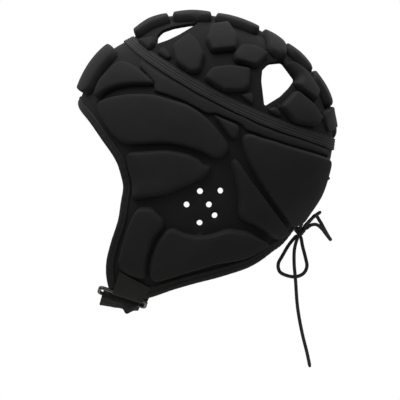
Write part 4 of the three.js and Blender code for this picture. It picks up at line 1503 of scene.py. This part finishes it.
wrap = RING["bar"] / 2 + GAP + STRAP_DEPTH / 2
level_x, level_y = jaw_side(lower_bar_up - wrap, lower_bar_out, -1)
wrap_angles = np.radians(np.arange(90, -91, -45))
wrap_points = [
    jaw_side(lower_bar_up + wrap * math.sin(angle), lower_bar_out + wrap * math.cos(angle), -1)
    for angle in wrap_angles
]
tail_lift = STRAP_DEPTH + 2 * GAP
strap_route = [
    (level_x + STRAP_TAIL, level_y + tail_lift - TAIL_DIP["end"]),
    (level_x + STRAP_TAIL / 2, level_y + tail_lift - TAIL_DIP["middle"]),
    jaw_side(lower_bar_up + wrap - WRAP_ENTRY["down"], lower_bar_out - WRAP_ENTRY["in"], -1),
    *wrap_points,
    (level_x + STRAP_TAIL / 3, level_y - STRAP_SAG),
    (level_x + STRAP_TAIL, level_y - STRAP_SAG),
    (0, level_y - STRAP_SAG),
    (-level_x - STRAP_TAIL, level_y - STRAP_SAG),
    (-level_x - STRAP_TAIL / 3, level_y),
    *(jaw_side(up, out, 1) for up, out in RIGHT_JAW),
]
strap_line = even_points(plain_curve(strap_route, np.linspace(0, 1, STRAP_SAMPLES)), STRAP_STEP)
print("strap length in mm:", round(travel_of(strap_line)[-1]))

# %% [markdown]
# The strap's section changes from station to station: it is flat under the chin, and drops into
# the lump near the bar. Shares that fall off along the strap say how much of each form there is.

# %% Chin strap
strap_along = directions(strap_line)
strap_normal = np.stack([-strap_along[:, 1], strap_along[:, 0]], axis=1)
lowest = np.linalg.norm(strap_line - np.array(wrap_points[-1]), axis=1).argmin()
past = np.arange(len(strap_line)) - lowest
near = np.exp(-((past / np.where(past < 0, LUMP["before"], LUMP["after"])) ** 2))[:, None]

half = STRAP_WIDTH / 2
edge = np.linspace(-half, half, 41)
lift = np.clip((half - np.abs(edge)) / STRAP_EDGE["roll"], STRAP_EDGE["least"], 1) ** 0.5
lift = STRAP_DEPTH / 2 * lift
lump = LUMP["drop"] * np.exp(-(((edge - LUMP["place"]) / LUMP["spread"]) ** 2))
lump -= LUMP["back_rise"] * np.clip((edge - LUMP["place"]) / (half - LUMP["place"]), 0, 1) ** 2
pile = np.random.default_rng(7).normal(size=(len(strap_line), len(edge), 2)) * STRAP_PILE
width = (edge + half) * (1 - BUNCHING * near) - half + STRAP_MIDDLE
sag = -near * lump
strap_top = np.stack([width, sag + lift + pile[..., 0]], axis=-1)
strap_bottom = np.stack([width, sag - lift + pile[..., 1]], axis=-1)
strap_section = np.concatenate([strap_top, strap_bottom[:, ::-1]], axis=1)
to_end = past[-1] - past
skew = STRAP_SKEW["shift"] * np.clip((STRAP_SKEW["reach"] - to_end) / STRAP_SKEW["reach"], 0, 1)
strap_place = strap_origin + in_strap_plane(strap_line) + np.outer(skew, width_way)
twist = STRAP_TWIST["angle"] * np.clip(past / STRAP_TWIST["rise"], 0, 1)
twist = twist * np.clip(to_end / STRAP_TWIST["fall"], 0, 1)
strap_across = np.outer(np.cos(twist), width_way) + np.outer(np.sin(twist), strap_up)
strap_stations = (strap_place, in_strap_plane(strap_normal), strap_across)
strap = drawn_along("chin_strap_woven", strap_stations, strap_section)
dressed(strap, hook_and_loop, "strap_webbing", "chin_strap")

# %% [markdown]
# The tab is sewn flat on the jaw with a slanting upper edge, and folded tight round the ring's
# upper bar. Each of its lengthwise lines runs from that edge over the bar and back up behind it.

# %% Jaw tab
TAB_DEPTH = 1.1
TAB_TOP = {"front": 16.5, "back": 11}
TAB_FRONT = -9
TAB_BACK = 17.4
TAB_FLARE = 2.5
TAB_LIFT = 1.3
TAB_TOP_LIFT = 1.0
TAB_SELVAGE = {"share": 0.03, "least": 0.4}
TAB_ROWS = 60
FOLD_GAP = 0.3
FOLD_SLANT = 0.7
half_tab = TAB_DEPTH / 2
fold_reach = RING["bar"] / 2 + FOLD_GAP + half_tab
fold_slant = FOLD_SLANT * fold_reach

tab_rows = []
tab_shares = np.linspace(0, 1, 33)
for share in tab_shares:
    top = TAB_TOP["front"] * (1 - share) + TAB_TOP["back"] * share
    line = smooth_curve(
        [
            (top, TAB_TOP_LIFT),
            (top / 2, TAB_LIFT),
            (0, TAB_LIFT),
            (upper_bar + 1, ring_middle + fold_reach),
            (upper_bar - fold_slant, ring_middle + fold_slant),
            (upper_bar - fold_reach, ring_middle),
            (upper_bar - fold_slant, ring_middle - fold_slant),
            (upper_bar + 1, ring_middle - fold_reach),
            (ring_top + 1, ring_middle - fold_reach),
        ]
    )
    tab_rows.append(even_points(line, travel_of(line)[-1] / TAB_ROWS))
tab_grid = np.stack(tab_rows, axis=1)
flare = np.clip(tab_grid[..., 0] / TAB_TOP["back"], 0, 1)
tab_across = TAB_FRONT + (TAB_BACK - TAB_FRONT + TAB_FLARE * flare) * tab_shares
tab_along = unit(np.gradient(tab_grid, axis=0))
from_selvage = np.minimum(tab_shares, 1 - tab_shares) / TAB_SELVAGE["share"]
tab_edge = half_tab * np.clip(from_selvage, TAB_SELVAGE["least"], 1) ** 0.5
tab_sides = []
for side in (1, -1):
    up = tab_grid[..., 0] - side * tab_edge * tab_along[..., 1]
    out = tab_grid[..., 1] - side * tab_edge * tab_along[..., 0]
    tab_sides.append(
        jaw + tab_across[..., None] * width_way + up[..., None] * jaw_up + out[..., None] * jaw_out
    )
tab_rings = np.concatenate([tab_sides[0], tab_sides[1][:, ::-1]], axis=1)
tab_width_map = travel_of(tab_rings[TAB_ROWS // 2], loop=True) * MM
tab_length_map = travel_of(tab_rings[:, 0]) * MM
tab = ringed("jaw_tab_woven", tab_rings, tab_width_map, tab_length_map)
dressed(tab, webbing, "strap_webbing", "jaw_tab")

# %% [markdown]
# ## Stitches
# Lines of thread hold the tape and the bindings down. One stitch is a short bead of 26 faces,
# thin at both ends. It is copied along each line, turned to lie on the cloth.

# %% Stitches
STITCH_LENGTH = 2.1
STITCH_WIDTH = 0.55
STITCH_SIDES = 6
STITCH_RINGS = [(-1, 0.15), (-0.7, 0.8), (0, 1), (0.7, 0.8), (1, 0.15)]
TAPE_STITCH_LIFT = 1.05
EDGE_STITCH_LIFT = 0.5


def stitch_lines(name, rows, slot):
    """Stitches along lines of (points, ways out, ways across)."""
    angle = turns(STITCH_SIDES)
    last = (len(STITCH_RINGS) - 1) * STITCH_SIDES
    points, faces = [], []
    for place, out, across in rows:
        along = np.cross(out, across)
        for p, o, a, t in zip(place, out, across, along):
            start = len(points)
            ring = np.outer(np.cos(angle), a) + np.outer(np.sin(angle), o)
            for share, girth in STITCH_RINGS:
                points.extend(p + t * share * STITCH_LENGTH / 2 + ring * girth * STITCH_WIDTH / 2)
            for here in range(start, start + last, STITCH_SIDES):
                after = here + STITCH_SIDES
                for j in range(STITCH_SIDES):
                    k = (j + 1) % STITCH_SIDES
                    faces.append((here + j, here + k, after + k, after + j))
            faces += [tuple(range(first, first + STITCH_SIDES)) for first in (start, start + last)]
    points = np.array(points)
    corner_map = [(points[i, 0] * MM, points[i, 2] * MM) for face in faces for i in face]
    return dressed(new_piece(name, points, faces, corner_map), thread, slot)


def shifted(stations, across, out):
    """Stations moved across their line and out of the wall."""
    place, ways_out, ways_across = stations
    return place + ways_across * across + ways_out * out, ways_out, ways_across


tape_steps = stations_on_head(seam_route, STITCH_STEP, loop=True)
tape_rows = [shifted(tape_steps, TAPE_GROOVES[i], TAPE_STITCH_LIFT) for i in (0, -1)]
stitch_lines("tape_stitches", tape_rows, "tape_fabric")
edge_rows = []
for route, turn, width in (
    (face_route, 1, FACE_BINDING),
    (lower_route, -1, LOWER_BINDING),
    (lower_route * mirror, 1, LOWER_BINDING),
):
    stations = stations_on_head(route, STITCH_STEP, turn=turn)
    edge_rows.append(shifted(stations, BINDING_GROOVE["share"] * width, EDGE_STITCH_LIFT))
stitch_lines("binding_stitches", edge_rows, "binding_fabric")

# %% [markdown]
# ## Light and floor
# The guard is lit as in a white studio. Light comes from all round, and more of it from higher up,
# which leaves the undersides of the pads dark. A key light in front and a broad light overhead
# pick out the pads' edges. The camera itself sees a plain white backdrop. The guard is held up by
# the head in it, so the pale floor lies well below.

# %% Studio
SKY = {"From Min": -0.35, "From Max": 1.0, "To Min": 0.07, "To Max": 1.5}
LIGHTS = [
    {"name": "key", "place": (-0.55, -0.8, 1.25), "size": 0.7, "power": 10},
    {"name": "top", "place": (-0.15, -0.15, 1.6), "size": 1.0, "power": 11},
]
LIGHT_AIM = Vector((0, 0, -0.12))
FLOOR_SIZE = 2.0
FLOOR_HEIGHT = -1.2

bpy.context.scene.view_settings.view_transform = "Standard"
world = bpy.data.worlds.new("white studio")
bpy.context.scene.world = world
world.use_nodes = True
tree = world.node_tree
sky = add_node(tree, "ShaderNodeTexCoord").outputs["Generated"]
height = add_node(tree, "ShaderNodeSeparateXYZ", inputs={"Vector": sky}).outputs["Z"]
glow = add_node(tree, "ShaderNodeMapRange", inputs={"Value": height, **SKY}).outputs["Result"]
seen = add_node(tree, "ShaderNodeLightPath").outputs["Is Camera Ray"]
strength = add_node(tree, "ShaderNodeMix", inputs={"Factor": seen, "A": glow, "B": 1.0})
feed(tree.nodes["Background"], {"Color": (1, 1, 1, 1), "Strength": strength.outputs["Result"]})

for row in LIGHTS:
    bpy.ops.object.light_add(type="AREA", location=row["place"])
    light = bpy.context.object
    light.name = row["name"] + "_light"
    light.data.size = row["size"]
    light.data.energy = row["power"]
    aim = LIGHT_AIM - Vector(row["place"])
    light.rotation_euler = aim.to_track_quat("-Z", "Y").to_euler()

bpy.ops.mesh.primitive_plane_add(size=FLOOR_SIZE, location=(0, 0, FLOOR_HEIGHT))
floor = bpy.context.object
floor.name = "studio_floor"
bpy.ops.object.transform_apply(location=True, rotation=True, scale=True)
paper, _, shader = new_material("white paper")
feed(shader, {"Base Color": linear("#f4f4f2"), "Roughness": 0.9})
floor.data.materials.append(paper)
print("lights:", len(LIGHTS), "floor at", FLOOR_HEIGHT, "m")
